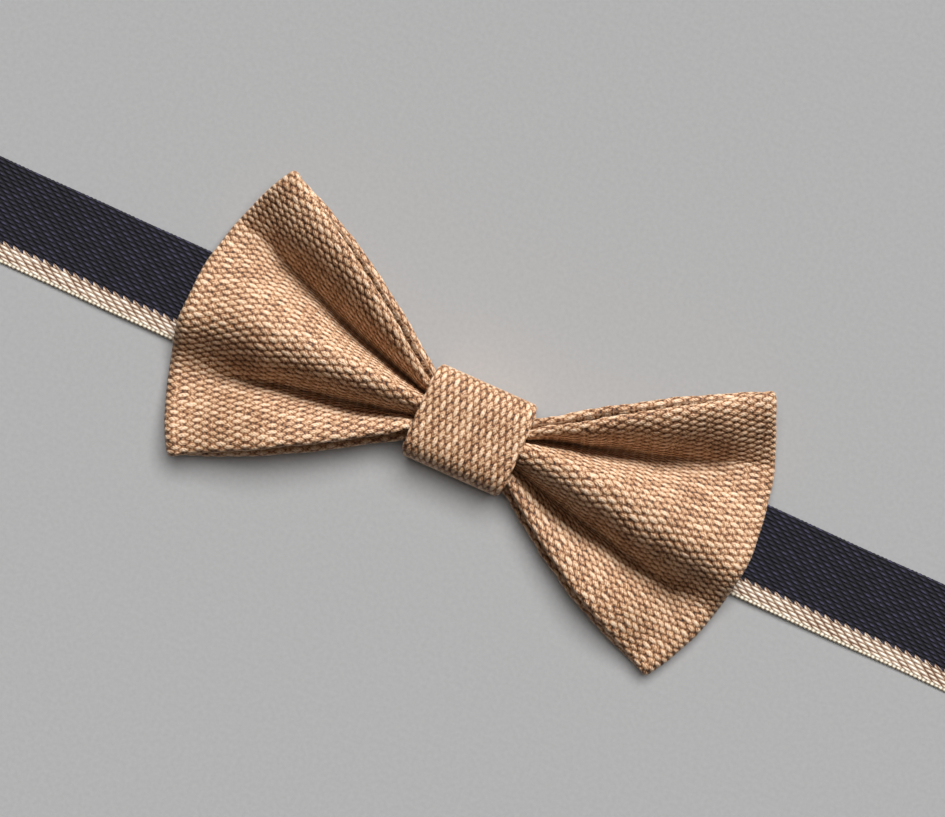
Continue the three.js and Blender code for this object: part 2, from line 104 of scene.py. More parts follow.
# %% [markdown]
# ## Cloth as a grid
# Cloth can be a plane with a modifier, a simulation, or a grid worked out point by point. The grid is used here,
# because its rows and columns can follow the threads, so that each thread's relief falls on the same vertices.
# A piece starts as the middle of the cloth's thickness. It is offset to both sides along its normals, and its
# rims are closed. Each vertex keeps its place on the flat cloth, in millimetres, as a UV map for the material.


# %% Small helpers for shapes
def lerp(a, b, k):
    return a + (b - a) * k


def ease(k):
    k = np.clip(k, 0, 1)
    return k * k * (3 - 2 * k)


def through(pairs, at):
    """A smooth curve through a few (position, value) pairs, level at both ends."""
    xs, ys = np.array(pairs, float).T
    slopes = np.zeros(len(xs))
    slopes[1:-1] = (ys[2:] - ys[:-2]) / (xs[2:] - xs[:-2])
    at = np.clip(np.asarray(at, float), xs[0], xs[-1])
    i = np.clip(np.searchsorted(xs, at, side="right") - 1, 0, len(xs) - 2)
    span = xs[i + 1] - xs[i]
    k = (at - xs[i]) / span
    rise = lerp(ys[i], ys[i + 1], k * k * (3 - 2 * k))
    return rise + span * k * (1 - k) * ((1 - k) * slopes[i] - k * slopes[i + 1])


def stack(*parts):
    return np.stack(np.broadcast_arrays(*parts), axis=-1)


def unit(v):
    return v / np.maximum(np.linalg.norm(v, axis=-1, keepdims=True), 1e-12)


def arc_length(points):
    """The length along a line of points, up to each of them."""
    return np.concatenate([[0], np.cumsum(np.linalg.norm(np.diff(points, axis=0), axis=-1))])


def grid_normals(points, closed):
    """Normals of a grid of points, whose rows may close on themselves."""
    if closed:
        along = np.roll(points, -1, axis=0) - np.roll(points, 1, axis=0)
    else:
        along = np.gradient(points, axis=0)
    return unit(np.cross(unit(along), unit(np.gradient(points, axis=1))))


# %% Building a mesh from grids
def add_mesh(name, points, faces, uv):
    """A mesh from points in millimetres, lists of faces, and each vertex's place on the flat cloth."""
    points = np.asarray(points, float)
    volume = 0
    for group in faces:
        for corner in range(1, group.shape[1] - 1):
            a, b, c = points[group[:, 0]], points[group[:, corner]], points[group[:, corner + 1]]
            volume += np.einsum("ij,ij->i", a, np.cross(b, c)).sum() / 6
    if volume < 0:
        faces = [group[:, ::-1] for group in faces]
    corners = np.concatenate([group.ravel() for group in faces]).astype(np.int32)
    sizes = np.concatenate([np.full(len(group), group.shape[1]) for group in faces])
    starts = np.concatenate([[0], np.cumsum(sizes)[:-1]]).astype(np.int32)
    mesh = bpy.data.meshes.new(name)
    mesh.vertices.add(len(points))
    mesh.vertices.foreach_set("co", (points * MM).astype(np.float32).ravel())
    mesh.loops.add(len(corners))
    mesh.loops.foreach_set("vertex_index", corners)
    mesh.polygons.add(len(starts))
    mesh.polygons.foreach_set("loop_start", starts)
    mesh.update(calc_edges=True)
    mesh.polygons.foreach_set("use_smooth", np.ones(len(starts), bool))
    layer = mesh.uv_layers.new(name="Cloth")
    layer.uv.foreach_set("vector", np.asarray(uv, np.float32)[corners].ravel())
    print(name, len(starts), "faces,", round(abs(volume)), "mm3")
    return new_object(name, mesh)


def zip_up(top, bottom):
    """Triangles that close the gap between two chains of vertex numbers, which run the same way."""
    i = j = 0
    triangles = []
    while i < len(top) - 1 or j < len(bottom) - 1:
        next_top = (i + 1) / (len(top) - 1) if i < len(top) - 1 else 2
        next_bottom = (j + 1) / (len(bottom) - 1) if j < len(bottom) - 1 else 2
        if next_top <= next_bottom:
            triangles.append((top[i], top[i + 1], bottom[j]))
            i += 1
        else:
            triangles.append((top[i], bottom[j + 1], bottom[j]))
            j += 1
    return np.array(triangles)


def tube_faces(rows, cols, closed):
    """Quads of a tube's vertex numbers, row after row, whose ends may meet."""
    numbers = np.arange(rows * cols).reshape(rows, cols)
    ahead = np.roll(numbers, -1, axis=0)
    quads = np.stack([numbers, ahead, np.roll(ahead, -1, axis=1), np.roll(numbers, -1, axis=1)], axis=-1)
    return (quads if closed else quads[:-1]).reshape(-1, 4)


RIM_STEPS = 9
RIM_COLUMNS = 24


def cloth_solid(name, middle, along, across, above, below, relief, closed=False, skip=6):
    """One closed piece of cloth. Its rows run along the yarns; its upper face and rims are woven."""
    above = np.broadcast_to(above, middle.shape[:2])
    below = np.broadcast_to(below, middle.shape[:2])
    normals = grid_normals(middle, closed)
    face = middle + normals * (above + relief(along, across))[..., None]
    under = middle - normals * below[..., None]
    place = stack(along, across)
    angles = np.linspace(0, np.pi, RIM_STEPS + 2)[1:-1]
    rims = []
    for col, beside in ((-1, -2), (0, 1)):
        radius = (above[:, col] + below[:, col]) / 2
        centre = middle[:, col] + normals[:, col] * (above[:, col] - radius)[:, None]
        outward = unit(middle[:, col] - middle[:, beside])
        sign = -1 if col == 0 else 1
        v = across[:, col, None] + sign * radius[:, None] * angles
        s = np.broadcast_to(along[:, col, None], v.shape)
        raised = (radius[:, None] + relief(s, v))[..., None]
        turn = normals[:, col, None] * np.cos(angles)[:, None]
        turn = turn + outward[:, None] * np.sin(angles)[:, None]
        rims.append((centre[:, None] + raised * turn, stack(s, v)))
    columns = np.arange(middle.shape[1])
    from_rim = np.minimum(columns, columns[::-1])
    picked = np.nonzero((from_rim % skip == 0) | ((from_rim < RIM_COLUMNS) & (from_rim % 2 == 0)))[0][::-1]
    grid = np.concatenate([face, rims[0][0], under[:, picked], rims[1][0][:, ::-1]], axis=1)
    uv = np.concatenate([place, rims[0][1], place[:, picked], rims[1][1][:, ::-1]], axis=1)
    rows, cols = grid.shape[:2]
    faces = [tube_faces(rows, cols, closed)]
    if not closed:
        half = RIM_STEPS // 2
        n = face.shape[1]
        m = n + RIM_STEPS + len(picked)
        ring = np.arange(cols)
        top = np.concatenate([ring[m + half + 1 :], ring[: n + half + 1]])
        bottom = np.concatenate([ring[n + half + 1 : m], ring[m : m + half + 1]])[::-1]
        cap = zip_up(top, bottom)
        faces += [cap, cap[:, ::-1] + (rows - 1) * cols]
    return add_mesh(name, grid.reshape(-1, 3), faces, uv.reshape(-1, 2))


# %% [markdown]
# ## The weave
# The tan cloth is a coarse plain weave. Thick soft warp yarns, 0.7 mm apart, cover it, and each goes over one
# pair of thin weft threads and under the next, every 1.75 mm. What shows is rows of oval floats, each half a
# step off its neighbours, with small dark holes between. The relief is real geometry here, because it shows on
# every outline. The grid has four columns for each yarn and eight rows for each over-and-under; the knot, which
# is smaller, has six and twelve.

# %% The relief of a plain weave
YARN_PITCH = 0.70
FLOAT_PERIOD = 3.5
FLOAT_LONG = 0.37
FLOAT_WIDE = 0.79
FLOAT_POINT = 1.6
WEFT_LONG = 0.13
WEFT_WIDE = 0.5
WEFT_RISE = 0.2
FLOAT_FLATNESS = 0.4
COLUMNS_PER_YARN = 4
ROWS_PER_FLOAT = 8


def float_height(along, across):
    """How far a place on the flat cloth stands out, from 0 in a hole to 1 on a float's crown."""
    yarn = np.floor(across / YARN_PITCH + 0.5)
    v = across / YARN_PITCH - yarn
    s = along / FLOAT_PERIOD + yarn / 2
    s = s - np.floor(s + 0.5)
    s, v = np.abs(s), np.abs(v)
    own = 1 - (s / FLOAT_LONG) ** FLOAT_POINT - (v / FLOAT_WIDE) ** 2
    beside = 1 - ((0.5 - s) / FLOAT_LONG) ** FLOAT_POINT - ((1 - v) / FLOAT_WIDE) ** 2
    weft = WEFT_RISE * (1 - ((0.5 - s) / WEFT_LONG) ** 2 - (v / WEFT_WIDE) ** 2)
    return np.maximum(np.maximum(own, beside), np.maximum(weft, 0)) ** FLOAT_FLATNESS


def woven(depth):
    """The tan cloth's relief at a depth in millimetres, half above and half below the smooth face."""
    return lambda along, across: depth * (float_height(along, across) - 0.5)


def unevenness(a, b, size, seed):
    """Slow, seeded waves between about -1 and 1, for hand-made cloth that is never quite true."""
    draw = np.random.default_rng(seed)
    total = 0
    for _ in range(5):
        turn, phase = draw.uniform(0, 2 * np.pi, 2)
        stretch = draw.uniform(0.7, 1.4)
        place = (a * np.cos(turn) + b * np.sin(turn)) / size
        total = total + np.sin(place * stretch * 2 * np.pi + phase)
    return total / 3


# %% [markdown]
# ## The bow's folds
# Gathering pushes the strip into an M: a crest along each edge, a ridge down the middle and two deep valleys,
# which fan out from the knot. A cloth simulation would find folds of its own. Here they have to be these ones,
# so one formula gives the middle of the cloth on both leaves of the loop. Heights along each fold are smoothed
# from a few values. Across, the valleys are cut sharp near the knot, where the cloth is pinched, and turn round
# towards the wing's end. The back leaf lies below the front one by a gap that opens behind the edge as a lip.

# %% Where the folds run
# A rise is in millimetres above the neck tape, and a share is a part of the wing's half height. Both are given
# against u, which is 0 at the waist and 1 at the wing's end. Side -1 is the left wing and 1 the right.
CLOTH = 0.9
HEM_RADIUS = 0.95
TAPE_THICK = 1.0
BAND_TOP = 3.0
BOW_WIDTH = 119.2
BOW_HEIGHT = 58.8
BOW_TILT = (knot_low[1] + knot_high[1]) / 2
BOW_TURN = math.radians(0.45)
END_RADIUS = BOW_WIDTH / 2
CORNER_HALF = BOW_HEIGHT / 2
CORNER_RADIUS = END_RADIUS - 0.9
CORNER_X = math.sqrt(CORNER_RADIUS**2 - CORNER_HALF**2)
WAIST_END = 7.0
WAIST_HALF = 5.0
MOUTH_X = (knot_high[0] - knot_low[0]) / 2
KNOT_WALL = 2.2
KNOT_MOUTH = (knot_high[1] - knot_low[1]) / 2 - KNOT_WALL
UPPER_CREST = [(0, 7.3), (0.14, 7.3), (0.25, 9.4), (0.4, 12.0), (0.6, 12.8), (0.8, 12.0), (1, 9.0)]
LOWER_CREST = {
    -1: [(0, 7.3), (0.14, 7.0), (0.25, 8.0), (0.45, 10.2), (0.7, 11.0), (1, 6.0)],
    1: [(0, 7.3), (0.14, 6.3), (0.25, 5.8), (0.45, 7.2), (0.7, 8.0), (1, 2.0)],
}
RIDGE_RISE = [(0, 7.3), (0.14, 7.8), (0.25, 10.5), (0.4, 12.8), (0.6, 12.4), (0.8, 10.8), (1, 7.5)]
VALLEY_RISE = [(0, 3.6), (0.14, 3.0), (0.25, 2.6), (0.4, 2.8), (0.6, 3.0), (0.8, 2.2), (1, 1.6)]
UPPER_VALLEY_SHARE = {
    -1: [(0, 0.50), (0.18, 0.45), (0.44, 0.45), (0.7, 0.52), (1, 0.57)],
    1: [(0, 0.50), (0.18, 0.58), (0.44, 0.55), (0.7, 0.55), (1, 0.57)],
}
LOWER_VALLEY_SHARE = [(0, 0.455), (0.18, 0.43), (0.5, 0.41), (0.75, 0.44), (1, 0.48)]
RIDGE_SHARE = {
    -1: [(0, 0.1), (0.3, 0.06), (0.6, 0.02), (0.8, 0), (1, -0.08)],
    1: [(0, 0.1), (0.18, 0.15), (0.44, 0.10), (0.7, -0.02), (1, -0.12)],
}
FOLD_BITE = 1.65
RIDGE_BITE = {-1: 2.3, 1: 2.6}
OUTER_SOFTNESS = (1, 1, 1, 0.5)
UPPER_INSET = 2.2
LOWER_INSET = {-1: 1.6, 1: 1.3}
LEAF_GAP = [(0, 2.0), (0.14, 1.7), (0.3, 1.9), (0.45, 2.6), (0.8, 3.4), (0.93, 3.4), (1, 2.8)]
EDGE_GAP = [(0, 2.3), (0.14, 2.3), (0.3, 3.6), (0.45, 4.1), (0.8, 4.0), (0.93, 3.5), (1, 2.8)]
ROUNDNESS = [(0, 0.6), (0.2, 0.6), (0.5, 0.8), (0.9, 1.0), (1, 1.0)]
INNER_U = 0.05
LIP_RISE = 1.6
LIP_WIDTH = 1.3
INSET_FROM = 0.11
HEM_FROM = 0.16
OPENING = 0.1
VALLEY_DRAW = 0.3
BELLY = 0.085
SOFT_FROM = 0.6


def turn_bow(points):
    """The bow sits half a degree off the line of its tape."""
    c, s = math.cos(BOW_TURN), math.sin(BOW_TURN)
    return points @ np.array([[c, s, 0], [-s, c, 0], [0, 0, 1]])


def half_height(u):
    """Half the gathered strip's height: tight in the waist, wider in the knot's mouth, then to the corner."""
    x = u * CORNER_X
    inner = lerp(WAIST_HALF, KNOT_MOUTH, np.clip((x - WAIST_END) / (MOUTH_X - WAIST_END), 0, 1))
    p = np.clip((x - MOUTH_X) / (CORNER_X - MOUTH_X), 0, 1)
    return np.where(x < MOUTH_X, inner, lerp(KNOT_MOUTH, CORNER_HALF, p + BELLY * np.sin(np.pi * p)))


def sway(side, u):
    """How far a wing's middle line bends away from the tape's."""
    if side < 0:
        return BOW_TILT + 1.95 * (1 - (1 - u) ** 1.8)
    return BOW_TILT + 0.5 * u - 0.95 * np.sin(np.pi * u)


def opening(u, start):
    """From 0 inside the knot to 1 where the wing has come out of it."""
    return np.clip((u - start) / OPENING, 0, 1)


def leaf(side, u, t, back):
    """The middle of the cloth at u along a wing, from 0 to 1, and t across it, from -1 to 1."""
    u, t = np.broadcast_arrays(np.asarray(u, float), np.asarray(t, float))
    half = half_height(u)
    inset = np.where(t < 0, LOWER_INSET[side], UPPER_INSET) * (1 - u**4)
    inset = inset * opening(u, INSET_FROM) * (1 - back)
    edge = half - HEM_RADIUS - inset
    draw = inset * VALLEY_DRAW
    low_valley = draw - half * through(LOWER_VALLEY_SHARE, u)
    high_valley = half * through(UPPER_VALLEY_SHARE[side], u) - draw
    rails = [-edge, low_valley, half * through(RIDGE_SHARE[side], u), high_valley, edge]
    low_crest, high_crest = through(LOWER_CREST[side], u), through(UPPER_CREST, u)
    valley, ridge = through(VALLEY_RISE, u), through(RIDGE_RISE, u)
    rises = [low_crest, valley, ridge, valley, high_crest]
    crest = np.where(t < 0, low_crest, high_crest)
    power = through(ROUNDNESS, u)
    rel = np.zeros_like(u)
    rise = np.zeros_like(u)
    for i in range(4):
        here = (t >= -1 + i / 2) & (t <= -0.5 + i / 2)
        k = np.clip((t + 1 - i / 2) * 2, 0, 1)
        up = k if i in (1, 3) else 1 - k
        soft = ((1 - np.cos(np.pi * up)) / 2) ** power
        sharp = 1 - (1 - up) ** (RIDGE_BITE[side] if i == 1 else FOLD_BITE)
        softness = 1 if i == 2 else OUTER_SOFTNESS[i] * ease((u - SOFT_FROM) / (1 - SOFT_FROM))
        wave = lerp(sharp, soft, softness)
        low, high = (rises[i], rises[i + 1]) if i in (1, 3) else (rises[i + 1], rises[i])
        rel = np.where(here, lerp(rails[i], rails[i + 1], k), rel)
        rise = np.where(here, lerp(low, high, wave), rise)
    radius = lerp(END_RADIUS, CORNER_RADIUS, (rel / CORNER_HALF) ** 2)
    end_rel = np.clip(rel * CORNER_HALF / np.maximum(half, 1), -CORNER_HALF, CORNER_HALF)
    reach = np.sqrt(radius**2 - end_rel**2)
    x = side * u * (reach - (CLOTH + LEAF_GAP[-1][1]) / 2)
    depth = (rise - valley) / np.maximum(crest - valley, 0.1)
    gap = lerp(through(LEAF_GAP, u), through(EDGE_GAP, u), np.clip(depth, 0, 1) * (np.abs(t) > 0.5))
    lip = LIP_RISE * ease((edge - np.abs(rel)) / LIP_WIDTH)
    gap = gap + lip * opening(u, HEM_FROM) * (1 - u**4)
    return stack(x, sway(side, u) + rel, BAND_TOP + rise - gap * back)


# %% [markdown]
# ## Gathering without stretching
# Cloth doesn't shrink where it is gathered: the spare width goes down into the valleys. So a yarn keeps its
# distance from the nearest crest, and only near the valley's bottom are the yarns pushed together. The wing's
# end, where nothing is gathered, gives the number of yarns.


# %% Yarn lines on a leaf
FOLD_SAMPLES = 300
RIDGE_SAMPLES = 400
BACK_ROWS = 62
FOLDS = np.linspace(-1, 1, 4 * FOLD_SAMPLES + 1)


def yarn_places(side, u, back, yarns_full):
    """The t of each yarn line at u, from its distance to the nearest crest on the flat cloth."""
    arc = arc_length(leaf(side, u, FOLDS, back))
    marks = arc[::FOLD_SAMPLES]
    placed = []
    for i, (from_crest, full) in enumerate(yarns_full):
        have = marks[i + 1] - marks[i]
        if have < full * 0.999:
            limit = full / ((full / have) ** 4 - 1) ** 0.25
            d = from_crest * (1 + (from_crest / limit) ** 4) ** -0.25
        else:
            d = from_crest * have / full
        placed.append(marks[i] + d if i in (0, 2) else marks[i + 1] - d)
    return np.interp(np.concatenate(placed), arc, FOLDS)


def wing_grid(side):
    """The middle of a wing's cloth, out along the front leaf and back under, with its flat places."""
    arc = arc_length(leaf(side, 1, FOLDS, 0))
    ridge = arc[2 * FOLD_SAMPLES]
    step = YARN_PITCH / COLUMNS_PER_YARN
    across = np.arange(round(arc[-1] / step) + 1) * step
    across = across - round(ridge / step) * step
    stretch = (across[-1] - across[0]) / arc[-1]
    edges = (arc[::FOLD_SAMPLES] - ridge) * stretch
    edges[0], edges[-1] = across[0], across[-1]
    parts = []
    for i in range(4):
        last = across <= edges[i + 1] if i == 3 else across < edges[i + 1]
        v = across[(across >= edges[i]) & last]
        from_crest = v - edges[i] if i in (0, 2) else edges[i + 1] - v
        parts.append((from_crest, edges[i + 1] - edges[i]))
    rows_step = FLOAT_PERIOD / ROWS_PER_FLOAT
    ridge_us = np.linspace(INNER_U, 1, RIDGE_SAMPLES)
    ridge_arc = arc_length(leaf(side, ridge_us, 0, 0))
    front_rows = int(ridge_arc[-1] / rows_step)
    from_end = np.arange(front_rows, -1, -1) * rows_step
    us = np.interp(from_end, (ridge_arc[-1] - ridge_arc)[::-1], ridge_us[::-1])
    front = np.stack([leaf(side, u, yarn_places(side, u, 0, parts), 0) for u in us])
    back_us = np.linspace(1, us[0], BACK_ROWS)
    back = np.stack([leaf(side, u, yarn_places(side, u, 1, parts), 1) for u in back_us])
    centre = (front[-1] + back[0]) / 2
    radius = np.linalg.norm(front[-1] - back[0], axis=-1, keepdims=True) / 2
    outward = unit(centre * [1, 1, 0])
    up = unit(front[-1] - back[0])
    roll_rows = round(math.pi * (radius.mean() + CLOTH / 2) / rows_step)
    angles = np.linspace(0, np.pi, roll_rows + 1)[1:-1, None, None]
    roll = centre + radius * (outward * np.sin(angles) + up * np.cos(angles))
    middle = np.concatenate([front, roll, back])
    along = (np.arange(len(front) + len(roll)) - front_rows) * rows_step
    back_arc = np.linspace(0, front_rows * rows_step, len(back))
    along = np.concatenate([along, along[-1] + rows_step + back_arc])
    size = (across[-1] - across[0], along[-1] - along[0])
    print("side", side, "flat size", np.round(size, 1), "grid", middle.shape)
    return middle, along, across, us, size


# %% [markdown]
# ## The two wings
# The strip's long edges are turned in, so each leaf ends in a soft roll about 2 mm thick. Both rolls show, one
# beside the other, because the front leaf is drawn in a little more than the back one.

# %% Wing pieces
RELIEF = 0.30
FACE_WAVE = 0.16
FACE_DRIFT = 0.10
FLOAT_WANDER = 0.22
YARN_WANDER = 0.07
FRONT_HEM = 2.2
BACK_HEM = 1.3
HEM_STEP = 0.5
HEM_IN_KNOT = 0.25


def fold_crowding(middle):
    """How much of a yarn's width is left between columns, from 0 where they are pushed together to 1."""
    gap = np.linalg.norm(np.gradient(middle, axis=1), axis=-1)
    return np.clip(gap * COLUMNS_PER_YARN / YARN_PITCH, 0, 1) ** 1.5


def build_wing(side, name):
    middle, along, across, us, size = wing_grid(side)
    if side < 0:
        middle = middle[:, ::-1]
        across = -across[::-1]
    a, b = middle[..., 0], middle[..., 1]
    wave = FACE_WAVE * unevenness(a, b, 14, 3 + side)
    middle = middle + grid_normals(middle, False) * wave[..., None]
    drift = stack(unevenness(a, b, 9, 20 + side), unevenness(a, b, 9, 30 + side), 0)
    middle = turn_bow(middle + FACE_DRIFT * drift)
    crowd = fold_crowding(middle)
    front = np.arange(len(middle)) < len(us)
    share = np.concatenate([us, np.ones(len(middle) - len(us))])
    from_edge = np.minimum(across - across[0], across[-1] - across)[None]
    hem_wide = np.where(front, FRONT_HEM, BACK_HEM)[:, None]
    hem = ease((hem_wide - from_edge) / HEM_STEP + 0.5)
    hem = hem * np.maximum(opening(share, HEM_FROM), HEM_IN_KNOT)[:, None]
    below = CLOTH / 2 + (2 * HEM_RADIUS - CLOTH) * hem
    along_grid = along[:, None] + FLOAT_WANDER * unevenness(a, b, 5, 40 + side)
    across_grid = across[None] + YARN_WANDER * unevenness(a, b, 4, 50 + side)

    def relief(s, v):
        depth = RELIEF * crowd if s.shape == crowd.shape else RELIEF
        return depth * (float_height(s, v) - 0.5)

    piece = cloth_solid(name, middle, along_grid, across_grid, CLOTH / 2, below, relief)
    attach(piece, "root")
    return piece


wings = [build_wing(-1, "bow_wing_left"), build_wing(1, "bow_wing_right")]
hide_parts("bow_cloth")

# %% [markdown]
# ## The knot
# The knot is a strip of the same cloth, wrapped once round the gathered waist with its edges turned in and its
# ends sewn together at the back. A ring of cloth could be swept along a curve. It is a grid again, so that the
# yarns run round the ring. It is high and round on top, flat behind where it lies on the table, and slightly
# narrower where it turns down.

# %% Knot pieces
KNOT_COLUMNS = 6
KNOT_ROWS = 12
KNOT_CENTRE_Z = 6.4
KNOT_TOP_POWER = 3.9
KNOT_SLOPE = 0.07
KNOT_BACK_POWER = 4.5
KNOT_LEFT = -9.7
KNOT_RIGHT = 10.3
KNOT_CROWN = 0.35
KNOT_HEM = 2.6
KNOT_HEM_STEP = 0.7
KNOT_HEM_THICK = 0.25
LINING = 0.5
LINING_INSET = 1.2
LINING_HALF = 8.2
LINING_RELIEF = 0.05


def ring_outline(inset, steps):
    """Points (y, z) evenly round the knot's section, set in by some millimetres, and the way round it."""
    a = np.linspace(0, 2 * np.pi, 4001)
    power = np.where(np.sin(a) >= 0, KNOT_TOP_POWER, KNOT_BACK_POWER)
    half_y = (knot_high[1] - knot_low[1]) / 2 - inset
    half_z = np.where(np.sin(a) >= 0, knot_high[2] - KNOT_CENTRE_Z, KNOT_CENTRE_Z) - inset
    y = BOW_TILT + half_y * np.sign(np.cos(a)) * np.abs(np.cos(a)) ** (2 / power)
    z = KNOT_CENTRE_Z + half_z * np.sign(np.sin(a)) * np.abs(np.sin(a)) ** (2 / power)
    arc = arc_length(stack(y, z))
    at = np.linspace(0, arc[-1], steps + 1)[:-1]
    return np.interp(at, arc, y), np.interp(at, arc, z), arc[-1]


def build_ring(name, inset, thickness, left, right, columns, rows, relief, round_corners):
    """A band of cloth round the knot's section, from x = left to x = right."""
    y, z, around = ring_outline(inset + thickness / 2, 4 * rows)
    floats = round(around / FLOAT_PERIOD)
    y, z, around = ring_outline(inset + thickness / 2, floats * rows)
    yarns = round((right - left) / YARN_PITCH)
    v = np.arange(yarns * columns + 1) / columns * YARN_PITCH
    share = np.linspace(0, 1, len(v))[None]
    side = np.abs(y - BOW_TILT) / (knot_high[1] - BOW_TILT)
    low = np.clip((KNOT_CENTRE_Z - z) / KNOT_CENTRE_Z, 0, 1)
    narrow = round_corners * (side**10 + 0.9 * ease(low))[:, None]
    x = lerp(left + narrow, right - narrow, share)
    crown = 1 - (2 * share - 1) ** 2
    crowned = KNOT_CROWN * round_corners
    lift = crowned * crown * np.clip(z[:, None] / knot_high[2], 0, 1) - crowned
    slope = KNOT_SLOPE * (BOW_TILT - y) * np.clip((z - KNOT_CENTRE_Z) / 3, 0, 1)
    middle = stack(x, y[:, None], (z + slope)[:, None] + lift)
    middle[..., 2] = np.maximum(middle[..., 2], inset + thickness / 2)
    middle = turn_bow(middle)
    along, across = np.broadcast_arrays(np.arange(floats * rows)[:, None] / rows * FLOAT_PERIOD, v[None])
    hem = ease((KNOT_HEM - np.minimum(v, v[-1] - v)) / KNOT_HEM_STEP) * KNOT_HEM_THICK * round_corners
    half = thickness / 2
    piece = cloth_solid(name, middle, along, across, half, half + hem, relief, closed=True)
    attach(piece, "root")
    return piece, (v[-1] * MM, around * MM)


knot, knot_flat = build_ring(
    "knot_wrap_cloth", 0, CLOTH, KNOT_LEFT, KNOT_RIGHT, KNOT_COLUMNS, KNOT_ROWS, woven(RELIEF), 1
)
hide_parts("knot_wrap")

lining, lining_flat = build_ring(
    "knot_lining_canvas", LINING_INSET, LINING, -LINING_HALF, LINING_HALF, 2, 6, woven(LINING_RELIEF), 0
)
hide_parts("knot_lining")

# %% [markdown]
# ## The neck tape
# The tape is woven 19 mm wide in two colours, with the ecru yarns along its lower edge. It lies on the table,
# lifts a little behind the bow, and is drawn together where it goes through the knot. At one end it turns round
# the hook's bar and is sewn down. At the other it passes over the slide's middle bar, round the eye, and back
# round the middle bar. The grid follows that path; its relief is the tape's slanted, brick-like weave.

# %% The tape's path and weave
TAPE_WIDTH = 19.0
TAPE_ROW = 0.71
TAPE_DASH = 2.13
TAPE_ROWS = 5
TAPE_RELIEF = 0.13
DASH_FLATNESS = 0.6
SELVEDGE_RIB = 0.9
SELVEDGE_AT = 8.9
TAPE_LIFT = 2.0
TAPE_DRAWN = 12.2
WOVEN_HALF = (TAPE_WIDTH - 1) / 2


def tape_height(along, across):
    """The tape's relief, from 0 to 1: rows of short dashes that lean across the rows."""
    row = 0.5 + 0.5 * np.cos(2 * np.pi * across / TAPE_ROW)
    dash = 0.5 + 0.5 * np.cos(2 * np.pi * (along / TAPE_DASH + across / TAPE_ROW / 2))
    body = (row * dash) ** DASH_FLATNESS
    rib = 0.5 + 0.5 * np.cos(2 * np.pi * along / SELVEDGE_RIB)
    return lerp(body, rib, ease((np.abs(across) - SELVEDGE_AT) / 0.4))


def tape_level(x):
    """The height of the tape's middle: lifted behind the bow, down on the table towards its ends."""
    return TAPE_THICK / 2 + TAPE_LIFT * (1 - ease((np.abs(x) - 14) / 96))


def tape_edge(x, side):
    """Where the tape's edge is, drawn together where it goes through the knot."""
    k = 1 - ease((np.abs(x) - 11) / 23)
    return side * lerp(TAPE_WIDTH, TAPE_DRAWN, k) / 2 + BOW_TILT * k


def rounded(points, radius, steps=8):
    """A path of (x, z) points with rounded corners."""
    path = [points[0]]
    for before, at, after in zip(points, points[1:], points[2:]):
        before, at, after = np.array(before, float), np.array(at, float), np.array(after, float)
        reach = min(radius, np.linalg.norm(before - at) / 2, np.linalg.norm(after - at) / 2)
        start, end = at + unit(before - at) * reach, at + unit(after - at) * reach
        for k in np.linspace(0, 1, steps):
            path.append(tuple((1 - k) ** 2 * start + 2 * k * (1 - k) * at + k**2 * end))
    path.append(points[-1])
    return path


def half_turn(axis_x, side):
    """The tape's turn round a bar, from above to below it."""
    angles = np.linspace(np.pi / 2, -np.pi / 2, 17)
    xs = axis_x + side * FOLD_RADIUS * np.cos(angles)
    return list(zip(xs, FOLD_AXIS_Z + FOLD_RADIUS * np.sin(angles)))


def off_bar(start_x, bar_x, side, radius):
    """The upper layer's path, from where it lies flat at start_x up on to a bar."""
    down = [(start_x, SECOND_LAYER), (bar_x - side * 6, SECOND_LAYER)]
    return rounded(down + [(bar_x - side * 2, FOLD_TOP), (bar_x, FOLD_TOP)], radius)


def build_tape(name, path, start):
    """A stretch of tape along (x, z) points; start is the first point's place along the woven tape."""
    path = np.array(path, float)
    arc = arc_length(path)
    step = TAPE_DASH / TAPE_ROWS
    at = np.linspace(0, arc[-1], round(arc[-1] / step) + 1)
    x, z = np.interp(at, arc, path[:, 0]), np.interp(at, arc, path[:, 1])
    v = np.linspace(-WOVEN_HALF, WOVEN_HALF, round(2 * WOVEN_HALF / TAPE_ROW * COLUMNS_PER_YARN) + 1)
    y = lerp(tape_edge(x, -1)[:, None], tape_edge(x, 1)[:, None], v[None] / TAPE_WIDTH + 0.5)
    wave = 0.08 * unevenness(x, x * 0, 31, 5) * np.clip((np.abs(x) - 60) / 10, 0, 1)
    wave = wave * np.clip((120 - np.abs(x)) / 10, 0, 1)
    middle = stack(x[:, None], y + wave[:, None], z[:, None])
    along, across = np.broadcast_arrays((start + at)[:, None], v[None])
    half = (TAPE_THICK - TAPE_RELIEF) / 2

    def relief(s, v):
        return TAPE_RELIEF * (tape_height(s, v) - 0.5)

    piece = cloth_solid(name, middle, along, across, half, half, relief, skip=4)
    return piece, start + arc[-1]


# %% The three stretches of tape
def joint_x(name):
    """Where a hinge's pin is along the tape, in millimetres."""
    return next(j["pos_m"][0] for j in frame["joints"] if j["name"] == name) / MM


HOOK_X = joint_x("hook_swing")
EYE_X = joint_x("eye_swing")
SLIDER_X = (slider_low[0] + slider_high[0]) / 2
FOLD_RADIUS = 1.7
FOLD_AXIS_Z = 2.2
FOLD_TOP = FOLD_AXIS_Z + FOLD_RADIUS
SECOND_LAYER = 1.8
LOOP_TOP = 4.6
OVER_TOP = 5.9
INNER_LEG = 1.9
OUTER_LEG = 3.2
SPLIT_X = 16
HANDOVER_X = SLIDER_X + 5

